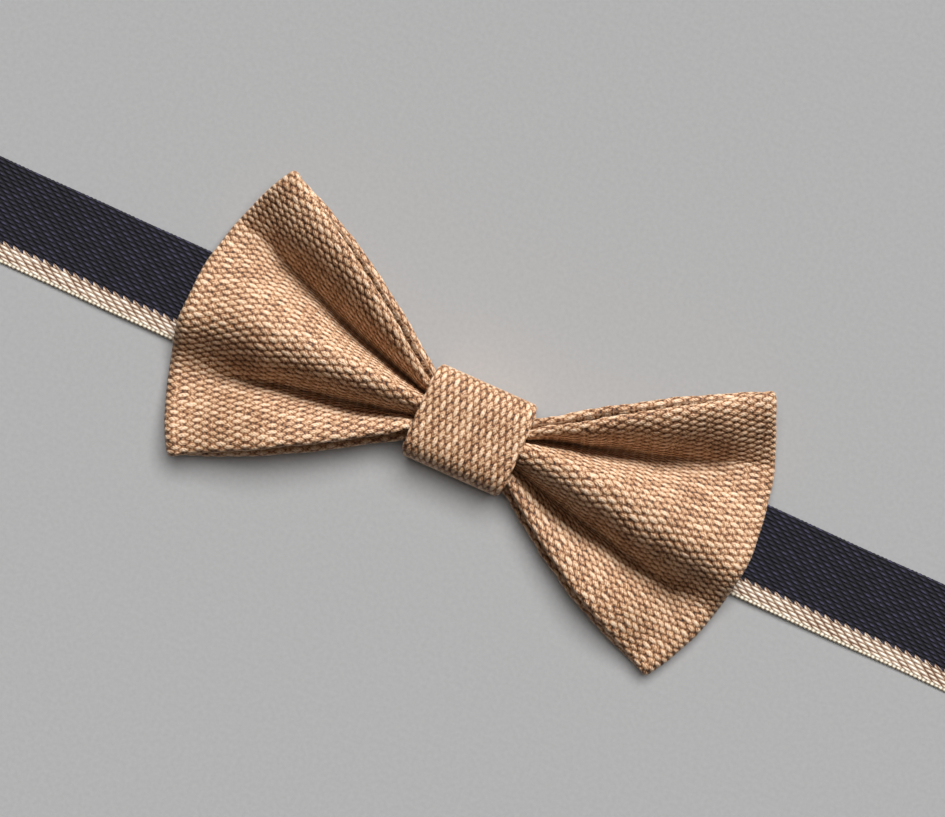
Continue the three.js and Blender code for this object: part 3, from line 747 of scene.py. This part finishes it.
tail = off_bar(HOOK_X + 16, HOOK_X, -1, 1)
run = [(x, tape_level(x)) for x in np.arange(HOOK_X + 1, SPLIT_X + 0.1, 1)]
neck_path = tail[:-1] + half_turn(HOOK_X, -1) + run
neck, at = build_tape("neck_tape", neck_path, 0)
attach(neck, "root")
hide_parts("neck_band")

run = [(x, tape_level(x)) for x in np.arange(SPLIT_X, SLIDER_X - 8, 1)]
over = [
    (SLIDER_X - OUTER_LEG, TAPE_THICK / 2),
    (SLIDER_X - OUTER_LEG, OVER_TOP),
    (SLIDER_X + OUTER_LEG, OVER_TOP),
    (SLIDER_X + OUTER_LEG, SECOND_LAYER),
    (HANDOVER_X, SECOND_LAYER),
]
near, at = build_tape("tape_through_slide", run[:-1] + rounded([run[-1]] + over, 0.9), at)
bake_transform(near)

out = off_bar(HANDOVER_X, EYE_X, 1, 0.9)
back = [
    (EYE_X, TAPE_THICK / 2),
    (SLIDER_X - INNER_LEG, TAPE_THICK / 2),
    (SLIDER_X - INNER_LEG, LOOP_TOP),
    (SLIDER_X + INNER_LEG, LOOP_TOP),
    (SLIDER_X + INNER_LEG, SECOND_LAYER),
    (SLIDER_X - INNER_LEG + TAPE_THICK, SECOND_LAYER),
]
loop_path = out[:-1] + half_turn(EYE_X, 1) + rounded(back, 0.7)[1:]
loop, at = build_tape("tape_round_eye", loop_path, at)
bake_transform(loop)
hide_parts("adjuster_tape")
print("tape", round(at), "mm long in all")

# %% [markdown]
# ## What holds the shape
# Between the two leaves of each wing lies a piece of stiffening canvas, which keeps the wing flat and spread.
# Round the waist, under the knot, thread holds the gathers. Both are nearly hidden, but they are real pieces,
# so the canvas is woven and the thread is twisted from two plies.


# %% Canvas between the leaves
CANVAS_HALF_THICK = 0.25
CANVAS_REACH = 0.74


def build_stiffener(side, name):
    us = np.linspace(0.44, 0.88, 40)
    t = np.linspace(-CANVAS_REACH, CANVAS_REACH, 120)
    middle = (leaf(side, us[:, None], t[None], 0) + leaf(side, us[:, None], t[None], 1)) / 2
    if side < 0:
        middle = middle[:, ::-1]
    middle = turn_bow(middle)
    along = np.cumsum(np.linalg.norm(np.gradient(middle, axis=0), axis=-1), axis=0)
    across = np.cumsum(np.linalg.norm(np.gradient(middle, axis=1), axis=-1), axis=1)
    half = CANVAS_HALF_THICK
    piece = cloth_solid(name, middle, along, across, half, half, lambda s, v: 0 * s, skip=2)
    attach(piece, "root")
    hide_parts("wing_stiffener_left" if side < 0 else "wing_stiffener_right")
    return piece


stiffeners = [build_stiffener(-1, "wing_canvas_left"), build_stiffener(1, "wing_canvas_right")]


# %% Threads
THREAD_SIDES = 12
PLY_DEPTH = 0.16


def thread_strand(path, radius, closed, turn=1.2):
    """A two-ply thread along points in millimetres: its vertices, faces and flat places."""
    path = np.array(path, float)
    step = np.roll(path, -1, axis=0) - np.roll(path, 1, axis=0) if closed else np.gradient(path, axis=0)
    ahead = unit(step)
    side = unit(np.cross(ahead, [0.13, 0.31, 0.94]))
    up = np.cross(side, ahead)
    arc = arc_length(path)
    around = np.linspace(0, 2 * np.pi, THREAD_SIDES + 1)[:-1]
    ply = 1 + PLY_DEPTH * np.cos(2 * around[None] - 2 * np.pi * arc[:, None] / turn)
    taper = 1 if closed else np.sqrt(np.clip(1 - (np.abs(2 * arc / arc[-1] - 1)) ** 6, 0.02, 1))[:, None]
    r = (radius * ply * taper)[..., None]
    spoke = side[:, None] * np.cos(around)[:, None] + up[:, None] * np.sin(around)[:, None]
    points = (path[:, None] + r * spoke).reshape(-1, 3)
    uv = stack(arc[:, None], radius * around[None])
    ring = np.arange(THREAD_SIDES)
    ends = [] if closed else [ring[::-1], len(points) - THREAD_SIDES + ring]
    caps = [[end[0], end[i], end[i + 1], end[i + 2]] for end in ends for i in range(1, THREAD_SIDES - 2, 2)]
    caps = np.array(caps, int).reshape(-1, 4)
    faces = np.concatenate([tube_faces(len(path), THREAD_SIDES, closed), caps])
    return points, faces, uv.reshape(-1, 2)


def join_strands(name, strands):
    """One mesh of several strands."""
    points, faces, uv, count = [], [], [], 0
    for p, f, w in strands:
        points.append(p)
        faces.append(f + count)
        uv.append(w)
        count += len(p)
    return add_mesh(name, np.concatenate(points), [np.concatenate(faces)], np.concatenate(uv))


# %% Thread round the waist, and the bar tacks at the hook
WAIST_THREAD = 0.25
TACK_STEP = 0.42
TACK_THREAD = 0.2
TACK_TURN = 0.7


def rounded_loop(low, high, radius, steps):
    """Points (y, z) round a rectangle with round corners."""
    points = []
    (y0, z0), (y1, z1) = low, high
    for y, z, start in [(y1, z1, 0), (y0, z1, 90), (y0, z0, 180), (y1, z0, 270)]:
        for a in np.radians(np.linspace(start, start + 90, steps)):
            inner_y = y - math.copysign(radius, y - (y0 + y1) / 2)
            inner_z = z - math.copysign(radius, z - (z0 + z1) / 2)
            points.append((inner_y + radius * math.cos(a), inner_z + radius * math.sin(a)))
    return points


def evenly(points, count):
    """The same closed line with evenly spaced points."""
    points = np.array(list(points) + [points[0]], float)
    arc = arc_length(points)
    at = np.linspace(0, arc[-1], count + 1)[:-1]
    return stack(*(np.interp(at, arc, values) for values in points.T))


threads = []
for number in (1, 2, 3):
    low, high = box_mm(f"waist_thread_{number}")
    section = rounded_loop(low[1:] + WAIST_THREAD, high[1:] - WAIST_THREAD, 0.9, 8)
    line = [((low[0] + high[0]) / 2, y, z) for y, z in section]
    strand = thread_strand(evenly(line, 180), WAIST_THREAD, True)
    thread = join_strands(f"waist_winding_{number}", [strand])
    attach(thread, "root")
    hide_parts(f"waist_thread_{number}")
    threads.append(thread)

tacks = []
for number in (1, 2):
    low, high = box_mm(f"hook_bar_tack_{number}")
    share = np.linspace(0, 1, 9)
    x = lerp(low[0] - 0.1, high[0] + 0.1, share)
    z = lerp(low[2] + 0.05, high[2] - TACK_THREAD / 2, np.sin(np.pi * share) ** 0.4)
    strands = []
    for y in np.arange(low[1], high[1], TACK_STEP):
        line = stack(x, y + TACK_STEP / 2 * share, z)
        strands.append(thread_strand(line, TACK_THREAD, False, TACK_TURN))
    tack = join_strands(f"hook_stitching_{number}", strands)
    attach(tack, "root")
    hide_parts(f"hook_bar_tack_{number}")
    tacks.append(tack)

# %% [markdown]
# ## Colours and nodes
# Colours are written as the sRGB hex values that a painter would read off a card. Cycles works in linear light,
# so one function turns them. One more function adds a node to a material with its settings and links.


# %% Helpers for materials
def linear(hex_code):
    """An sRGB hex colour as linear red, green, blue and alpha."""
    parts = [int(hex_code[i : i + 2], 16) / 255 for i in (0, 2, 4)]
    return tuple(p / 12.92 if p <= 0.04045 else ((p + 0.055) / 1.055) ** 2.4 for p in parts) + (1.0,)


def add(tree, kind, inputs=None, **settings):
    """Adds a node. Each input is another node's output, or a number or colour."""
    node = tree.nodes.new("ShaderNode" + kind)
    for name, value in settings.items():
        setattr(node, name, value)
    for name, value in (inputs or {}).items():
        if isinstance(value, bpy.types.NodeSocket):
            tree.links.new(value, node.inputs[name])
        else:
            node.inputs[name].default_value = value
    return node


def new_material(name, **surface):
    """A material with a fresh tree and one surface shader, whose plain settings are given."""
    made = bpy.data.materials.new(name)
    made.use_nodes = True
    tree = made.node_tree
    tree.nodes.clear()
    shader = add(tree, "BsdfPrincipled", {key.replace("_", " "): value for key, value in surface.items()})
    add(tree, "OutputMaterial", {"Surface": shader.outputs["BSDF"]})
    return made, tree, shader


def work_out(tree, values, steps):
    """Adds a chain of sums: each step is a result's name, an operation, and what it works on."""
    for result, operation, *parts in steps:
        inputs = {i: values.get(part, part) for i, part in enumerate(parts)}
        values[result] = add(tree, "Math", inputs, operation=operation).outputs[0]
    return values


def shades(tree, value, stops):
    """A colour ramp over a value, from (position, hex colour) stops."""
    ramp = add(tree, "ValToRGB", {"Fac": value})
    elements = ramp.color_ramp.elements
    while len(elements) < len(stops):
        elements.new(0.5)
    for element, (position, code) in zip(elements, stops):
        element.position = position
        element.color = linear(code)
    return ramp.outputs["Color"]


def noise(tree, spot, scale, detail, **settings):
    place = {"Vector": spot, "Scale": scale, "Detail": detail}
    return add(tree, "TexNoise", place, **settings).outputs["Fac"]


def streaks(tree, along, across, scale, detail):
    """Fine noise over two of a cloth's values."""
    spot = add(tree, "CombineXYZ", {"X": along, "Y": across}).outputs[0]
    return noise(tree, spot, scale, detail, noise_dimensions="2D")


def chance(tree, row, column):
    """A random number that is the same all over one float or dash."""
    cell = add(tree, "CombineXYZ", {"X": row, "Y": column}).outputs[0]
    return add(tree, "TexWhiteNoise", {"Vector": cell}, noise_dimensions="2D").outputs["Value"]


def finish(tree, shader, colour, height, strength, depth):
    """Joins a colour to the surface, and a height as a fine relief, whose depth is in millimetres."""
    tree.links.new(colour, shader.inputs["Base Color"])
    bump = add(tree, "Bump", {"Strength": strength, "Distance": depth * MM, "Height": height})
    tree.links.new(bump.outputs["Normal"], shader.inputs["Normal"])


def flat_place(tree):
    """A point's place on the flat cloth, in millimetres along and across the yarns."""
    uv = add(tree, "UVMap", uv_map="Cloth").outputs["UV"]
    place = add(tree, "SeparateXYZ", {"Vector": uv}).outputs
    return {"along": place["X"], "across": place["Y"]}


def cover(pieces, made):
    for piece in pieces:
        piece.data.materials.append(made)


# %% [markdown]
# ## The tan hopsack
# Hopsack is a coarse plain weave of soft cotton yarns. Each yarn is twisted from thin plies, so a float shows
# slanting lines and a few lit fibres. The colour is painted from each float's height: the holes between floats
# are painted dark as shade, since little light gets out of them, and the crowns are painted lighter as highlight.
# The pattern is worked out from the flat place of each point, with the same sums as the relief. Cotton reflects
# about as much as other plant fibre, with an IOR of 1.53, and its loose fibres give it a soft sheen.

# %% Tan hopsack
COTTON_IOR = 1.53
COTTON_SHEEN = "F2DCC0"
TWIST_PITCH = 0.65
TWIST_LEAN = 1.3
TWIST_DEPTH = 0.10
FIBRE_SCALE = 2.2
FIBRE_LEAN = 0.6
FIBRE_FINENESS = 2.2
FIBRE_DEPTH = 1.5
FLOAT_DEPTH = 0.82
YARN_VARIETY = 0.3


def oval(result, long, wide, half_long, half_wide, point, rise):
    """The sums for rise * (1 - (long / half_long)^point - (wide / half_wide)^2)."""
    return [
        (result + " long", "DIVIDE", long, half_long),
        (result + " long power", "POWER", result + " long", point),
        (result + " wide", "DIVIDE", wide, half_wide),
        (result + " wide power", "POWER", result + " wide", 2),
        (result + " powers", "ADD", result + " long power", result + " wide power"),
        (result + " left", "SUBTRACT", 1, result + " powers"),
        (result, "MULTIPLY", result + " left", rise),
    ]


FLOAT_STEPS = [
    ("place across", "DIVIDE", "across", YARN_PITCH),
    ("shifted", "ADD", "place across", 0.5),
    ("yarn", "FLOOR", "shifted"),
    ("v", "SUBTRACT", "place across", "yarn"),
    ("place along", "DIVIDE", "along", FLOAT_PERIOD),
    ("stagger", "MULTIPLY_ADD", "yarn", 0.5, "place along"),
    ("float start", "ADD", "stagger", 0.5),
    ("float", "FLOOR", "float start"),
    ("s", "SUBTRACT", "stagger", "float"),
    ("s size", "ABSOLUTE", "s"),
    ("s rest", "SUBTRACT", 0.5, "s size"),
    ("v size", "ABSOLUTE", "v"),
    ("v rest", "SUBTRACT", 1, "v size"),
    *oval("own", "s size", "v size", FLOAT_LONG, FLOAT_WIDE, FLOAT_POINT, 1),
    *oval("beside", "s rest", "v rest", FLOAT_LONG, FLOAT_WIDE, FLOAT_POINT, 1),
    *oval("weft", "s rest", "v size", WEFT_LONG, WEFT_WIDE, 2, WEFT_RISE),
    ("warp", "MAXIMUM", "own", "beside"),
    ("above weft", "MAXIMUM", "warp", "weft"),
    ("square", "MAXIMUM", "above weft", 0),
    ("height", "POWER", "square", FLOAT_FLATNESS),
    ("fibre along", "MULTIPLY_ADD", "v", FIBRE_LEAN, "along"),
    ("fibre across", "MULTIPLY", "across", FIBRE_FINENESS),
]
YARN_STEPS = [
    ("turns", "DIVIDE", "along", TWIST_PITCH),
    ("turned", "MULTIPLY_ADD", "v", TWIST_LEAN, "turns"),
    ("twist angle", "MULTIPLY", "turned", 2 * math.pi),
    ("twist", "SINE", "twist angle"),
    ("twist part", "MULTIPLY", "twist", TWIST_DEPTH),
    ("fibre middle", "SUBTRACT", "fibre", 0.5),
    ("fibre part", "MULTIPLY", "fibre middle", FIBRE_DEPTH),
    ("fine", "ADD", "twist part", "fibre part"),
    ("fine kept", "MULTIPLY", "fine", "height"),
    ("float part", "MULTIPLY", "height", FLOAT_DEPTH),
    ("surface", "ADD", "float part", "fine kept"),
    ("chance middle", "SUBTRACT", "chance", 0.5),
    ("tone", "MULTIPLY_ADD", "chance middle", YARN_VARIETY, "surface"),
]


def hopsack(name, pit_shade, low, body, crown):
    sheen = {"Sheen_Weight": 0.25, "Sheen_Roughness": 0.45, "Sheen_Tint": linear(COTTON_SHEEN)}
    made, tree, shader = new_material(name, Roughness=0.62, IOR=COTTON_IOR, **sheen)
    values = work_out(tree, flat_place(tree), FLOAT_STEPS)
    values["fibre"] = streaks(tree, values["fibre along"], values["fibre across"], FIBRE_SCALE, 2)
    values["chance"] = chance(tree, values["yarn"], values["float"])
    work_out(tree, values, YARN_STEPS)
    # The ramp runs over the float's height: its dark first stop is painted shade in the holes, its light last
    # stop a painted highlight on the crowns; the random tone between yarns is real.
    colour = shades(tree, values["tone"], [(0.05, pit_shade), (0.40, low), (0.68, body), (1.0, crown)])
    finish(tree, shader, colour, values["surface"], 0.6, 0.25)
    return made


# The first hex colour is painted shade for the holes between floats, the last a painted highlight on the crowns.
cover([*wings, knot], hopsack("tan_cotton_hopsack", "1C0C05", "925F3A", "D6AC84", "F6DBBF"))

# %% [markdown]
# ## The tape's navy and ecru
# The tape is dyed cotton. Its dark yarns lie close, so it looks nearly black-blue with small lighter dashes,
# whose lighter tops are painted highlight. The ecru stripe is undyed yarn, a little thicker, with gaps painted
# brownish as shade, and its selvedge is ribbed, with the grooves between ribs painted darker as shade. The border
# between the colours steps from dash to dash, as one set of yarns gives way to the other.

# %% Two-tone tape
STRIPE_EDGE = -5.6
STRIPE_STEP = 0.35
SELVEDGE_EDGE = -8.7
TAPE_FIBRE_FINENESS = 6
# Each list runs from the gaps to the tops of the dashes or ribs: its dark first stops are painted shade, its
# light last stops painted highlight.
NAVY = [(0.0, "07060B"), (0.5, "14121E"), (0.85, "232136"), (1.0, "3E3C56")]
ECRU = [(0.0, "6B4A36"), (0.25, "BFA892"), (0.7, "EADCCB"), (1.0, "FAF4EA")]
CREAM = [(0.0, "A08C74"), (0.5, "DDD2BC"), (1.0, "F2ECDC")]
DASH_STEPS = [
    ("row angle", "MULTIPLY", "across", 2 * math.pi / TAPE_ROW),
    ("row wave", "COSINE", "row angle"),
    ("row", "MULTIPLY_ADD", "row wave", 0.5, 0.5),
    ("dash angle along", "MULTIPLY", "along", 2 * math.pi / TAPE_DASH),
    ("dash angle", "MULTIPLY_ADD", "across", math.pi / TAPE_ROW, "dash angle along"),
    ("dash wave", "COSINE", "dash angle"),
    ("dash", "MULTIPLY_ADD", "dash wave", 0.5, 0.5),
    ("both", "MULTIPLY", "row", "dash"),
    ("height", "POWER", "both", DASH_FLATNESS),
    ("rib angle", "MULTIPLY", "along", 2 * math.pi / SELVEDGE_RIB),
    ("rib wave", "COSINE", "rib angle"),
    ("rib", "MULTIPLY_ADD", "rib wave", 0.5, 0.5),
    ("step", "MULTIPLY_ADD", "dash wave", STRIPE_STEP, "across"),
    ("is ecru", "LESS_THAN", "step", STRIPE_EDGE),
    ("is selvedge", "LESS_THAN", "across", SELVEDGE_EDGE),
    ("yarn", "DIVIDE", "across", TAPE_ROW),
    ("yarn number", "ROUND", "yarn"),
    ("dash place", "DIVIDE", "dash angle", 2 * math.pi),
    ("dash number", "ROUND", "dash place"),
    ("fibre across", "MULTIPLY", "across", TAPE_FIBRE_FINENESS),
]
TAPE_TONE_STEPS = [
    ("fibre middle", "SUBTRACT", "fibre", 0.5),
    ("surface", "MULTIPLY_ADD", "fibre middle", 0.5, "height"),
    ("chance middle", "SUBTRACT", "chance", 0.5),
    ("tone", "MULTIPLY_ADD", "chance middle", YARN_VARIETY, "surface"),
    ("rib tone", "MULTIPLY_ADD", "fibre middle", 0.4, "rib"),
]


def either(tree, test, no, yes):
    """One colour where the test is 0, the other where it is 1."""
    return add(tree, "Mix", {"Factor": test, "A": no, "B": yes}, data_type="RGBA").outputs["Result"]


def woven_tape(name):
    sheen = {"Sheen_Weight": 0.03, "Sheen_Roughness": 0.4}
    made, tree, shader = new_material(name, Roughness=0.7, IOR=COTTON_IOR, Specular_IOR_Level=0.25, **sheen)
    values = work_out(tree, flat_place(tree), DASH_STEPS)
    values["chance"] = chance(tree, values["yarn number"], values["dash number"])
    values["fibre"] = streaks(tree, values["along"], values["fibre across"], FIBRE_SCALE, 2)
    work_out(tree, values, TAPE_TONE_STEPS)
    # Painted shade and highlight: each colour ramp runs over the relief's height, dark in the gaps and light on
    # the tops.
    navy = shades(tree, values["tone"], NAVY)
    ecru = shades(tree, values["tone"], ECRU)
    light = either(tree, values["is selvedge"], ecru, shades(tree, values["rib tone"], CREAM))
    finish(tree, shader, either(tree, values["is ecru"], navy, light), values["surface"], 0.6, 0.15)
    return made


cover([neck, near, loop], woven_tape("navy_and_ecru_cotton_tape"))

# %% [markdown]
# ## Canvas and thread
# The canvas is a thin, stiff plain weave, left undyed; its colour is painted darker in the weave's low places, as
# shade. Sewing thread is mercerised cotton: smooth and tightly twisted, so it shines a little more than the
# cloth.

# %% Canvas and thread
CANVAS_PITCH = 0.8
CROSSING_STEPS = [
    ("warp angle", "MULTIPLY", "across", 2 * math.pi / CANVAS_PITCH),
    ("weft angle", "MULTIPLY", "along", 2 * math.pi / CANVAS_PITCH),
    ("warp", "COSINE", "warp angle"),
    ("weft", "COSINE", "weft angle"),
    ("crossing", "MULTIPLY", "warp", "weft"),
    ("height", "MULTIPLY_ADD", "crossing", 0.5, 0.5),
]


def canvas_cloth(name):
    made, tree, shader = new_material(name, Roughness=0.85, IOR=COTTON_IOR)
    height = work_out(tree, flat_place(tree), CROSSING_STEPS)["height"]
    # Painted shade: the canvas colour is darker where the weave is low and lighter where it is high.
    finish(tree, shader, shades(tree, height, [(0.0, "A79C86"), (1.0, "E6DFCE")]), height, 0.5, 0.1)
    return made


def sewing_thread(name, dark, light):
    made, tree, shader = new_material(name, Roughness=0.42, IOR=COTTON_IOR)
    place = flat_place(tree)
    fibre = streaks(tree, place["along"], place["across"], 6, 3)
    finish(tree, shader, shades(tree, fibre, [(0.3, dark), (0.7, light)]), fibre, 0.3, 0.05)
    return made


cover([lining, *stiffeners], canvas_cloth("undyed_linen_canvas"))
cover(threads, sewing_thread("tan_mercerised_thread", "8A6238", "D2A671"))
cover(tacks, sewing_thread("navy_mercerised_thread", "14141F", "4A4A60"))

# %% [markdown]
# ## The nickel fittings
# The hook, eye and slide are stamped from brass strip, tumbled to take off the sharp edges, and nickel plated.
# Plating follows the base metal, so it is bright but shows faint tumbling marks. Each is a copy of the packed
# model's plate with a small bevel on its sharp edges, which catches a thin line of light as a tumbled edge does.

# %% Nickel plate
PLATE_EDGE = 0.12
SHARP_TURN = math.radians(40)


def nickel_plate(name):
    made, tree, shader = new_material(name, Metallic=1.0)
    spot = add(tree, "TexCoord").outputs["Object"]
    marks = add(tree, "TexNoise", {"Vector": spot, "Scale": 900, "Detail": 3, "Roughness": 0.6}).outputs["Fac"]
    rough = add(tree, "MapRange", {"Value": marks, "To Min": 0.2, "To Max": 0.36}).outputs["Result"]
    tree.links.new(rough, shader.inputs["Roughness"])
    wear = noise(tree, spot, 160, 2)
    finish(tree, shader, shades(tree, wear, [(0.3, "C4C0B8"), (0.7, "D8D5CE")]), marks, 0.15, 0.04)
    return made


nickel = nickel_plate("bright_nickel_plate")
FITTINGS = [
    ("hook_plate", "band_hook", "hook"),
    ("eye_plate", "band_eye", "eye"),
    ("slide_frame", "slider", "slide"),
]
for name, node, body in FITTINGS:
    piece = new_object(name, frame["nodes"][node].data.copy())
    piece.data.materials.clear()
    cover([piece], nickel)
    edges = piece.modifiers.new("tumbled edges", "BEVEL")
    edges.width = PLATE_EDGE * MM
    edges.segments = 2
    edges.limit_method = "ANGLE"
    edges.angle_limit = SHARP_TURN
    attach(piece, body)
    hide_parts(node)

# %% [markdown]
# ## Table and light
# The tie lies on plain grey card. A soft lamp stands beyond the bow's upper edge, so the folds that face it are
# bright and the valleys fall dark. A weak warm lamp overhead and a dim surround fill them, as light that bounces
# between cloth faces would. The card has a lamp of its own, set higher, which leaves it evenly grey with a short
# soft shadow below the tie; light linking keeps that lamp off the tie and the others off the card.

# %% Table and light
FLOOR_SIZE = 3.0

floor_mesh = bpy.data.meshes.new("table")
half = FLOOR_SIZE / 2
floor_corners = [(-half, -half, 0), (half, -half, 0), (half, half, 0), (-half, half, 0)]
floor_mesh.from_pydata(floor_corners, [], [(0, 1, 2, 3)])
floor = new_object("table", floor_mesh)
card, tree, shader = new_material("grey_card", Roughness=0.9)
grain = noise(tree, add(tree, "TexCoord").outputs["Object"], 1200, 2)
tree.links.new(shades(tree, grain, [(0.3, "B9B9B9"), (0.7, "BFBFBF")]), shader.inputs["Base Color"])
floor_mesh.materials.append(card)

# %% Three lamps and the surround
KEY_SLANT = math.radians(50)
KEY_SPREAD = math.radians(20)
KEY_POWER = 5.0
TABLE_LAMP_SLANT = math.radians(19)
TABLE_LAMP_SPREAD = math.radians(38)
TABLE_LAMP_POWER = 2.75
FILL_POWER = 0.25
FILL_SPREAD = math.radians(120)
NEUTRAL = (1, 1, 1)
WARM = (1, 0.74, 0.52)
SURROUND = 0.05


def lamp(name, slant, spread, power, colour, lights_table):
    """A soft lamp that leans from above towards the bow's upper edge and lights the table or the tie."""
    data = bpy.data.lights.new(name, "SUN")
    data.angle = spread
    data.energy = power
    data.color = colour
    made = new_object(name, data)
    made.rotation_euler = (-slant, 0, 0)
    lit = bpy.data.collections.new(name + "_lit")
    lit.objects.link(floor)
    lit.collection_objects[0].light_linking.link_state = "INCLUDE" if lights_table else "EXCLUDE"
    made.light_linking.receiver_collection = lit


lamp("key_lamp", KEY_SLANT, KEY_SPREAD, KEY_POWER, NEUTRAL, False)
lamp("fill_lamp", 0, FILL_SPREAD, FILL_POWER, WARM, False)
lamp("table_lamp", TABLE_LAMP_SLANT, TABLE_LAMP_SPREAD, TABLE_LAMP_POWER, NEUTRAL, True)
world = bpy.data.worlds.new("surround")
bpy.context.scene.world = world
world.use_nodes = True
sky = world.node_tree.nodes["Background"]
sky.inputs["Color"].default_value = (1, 1, 1, 1)
sky.inputs["Strength"].default_value = SURROUND
bpy.context.scene.view_settings.view_transform = "Standard"
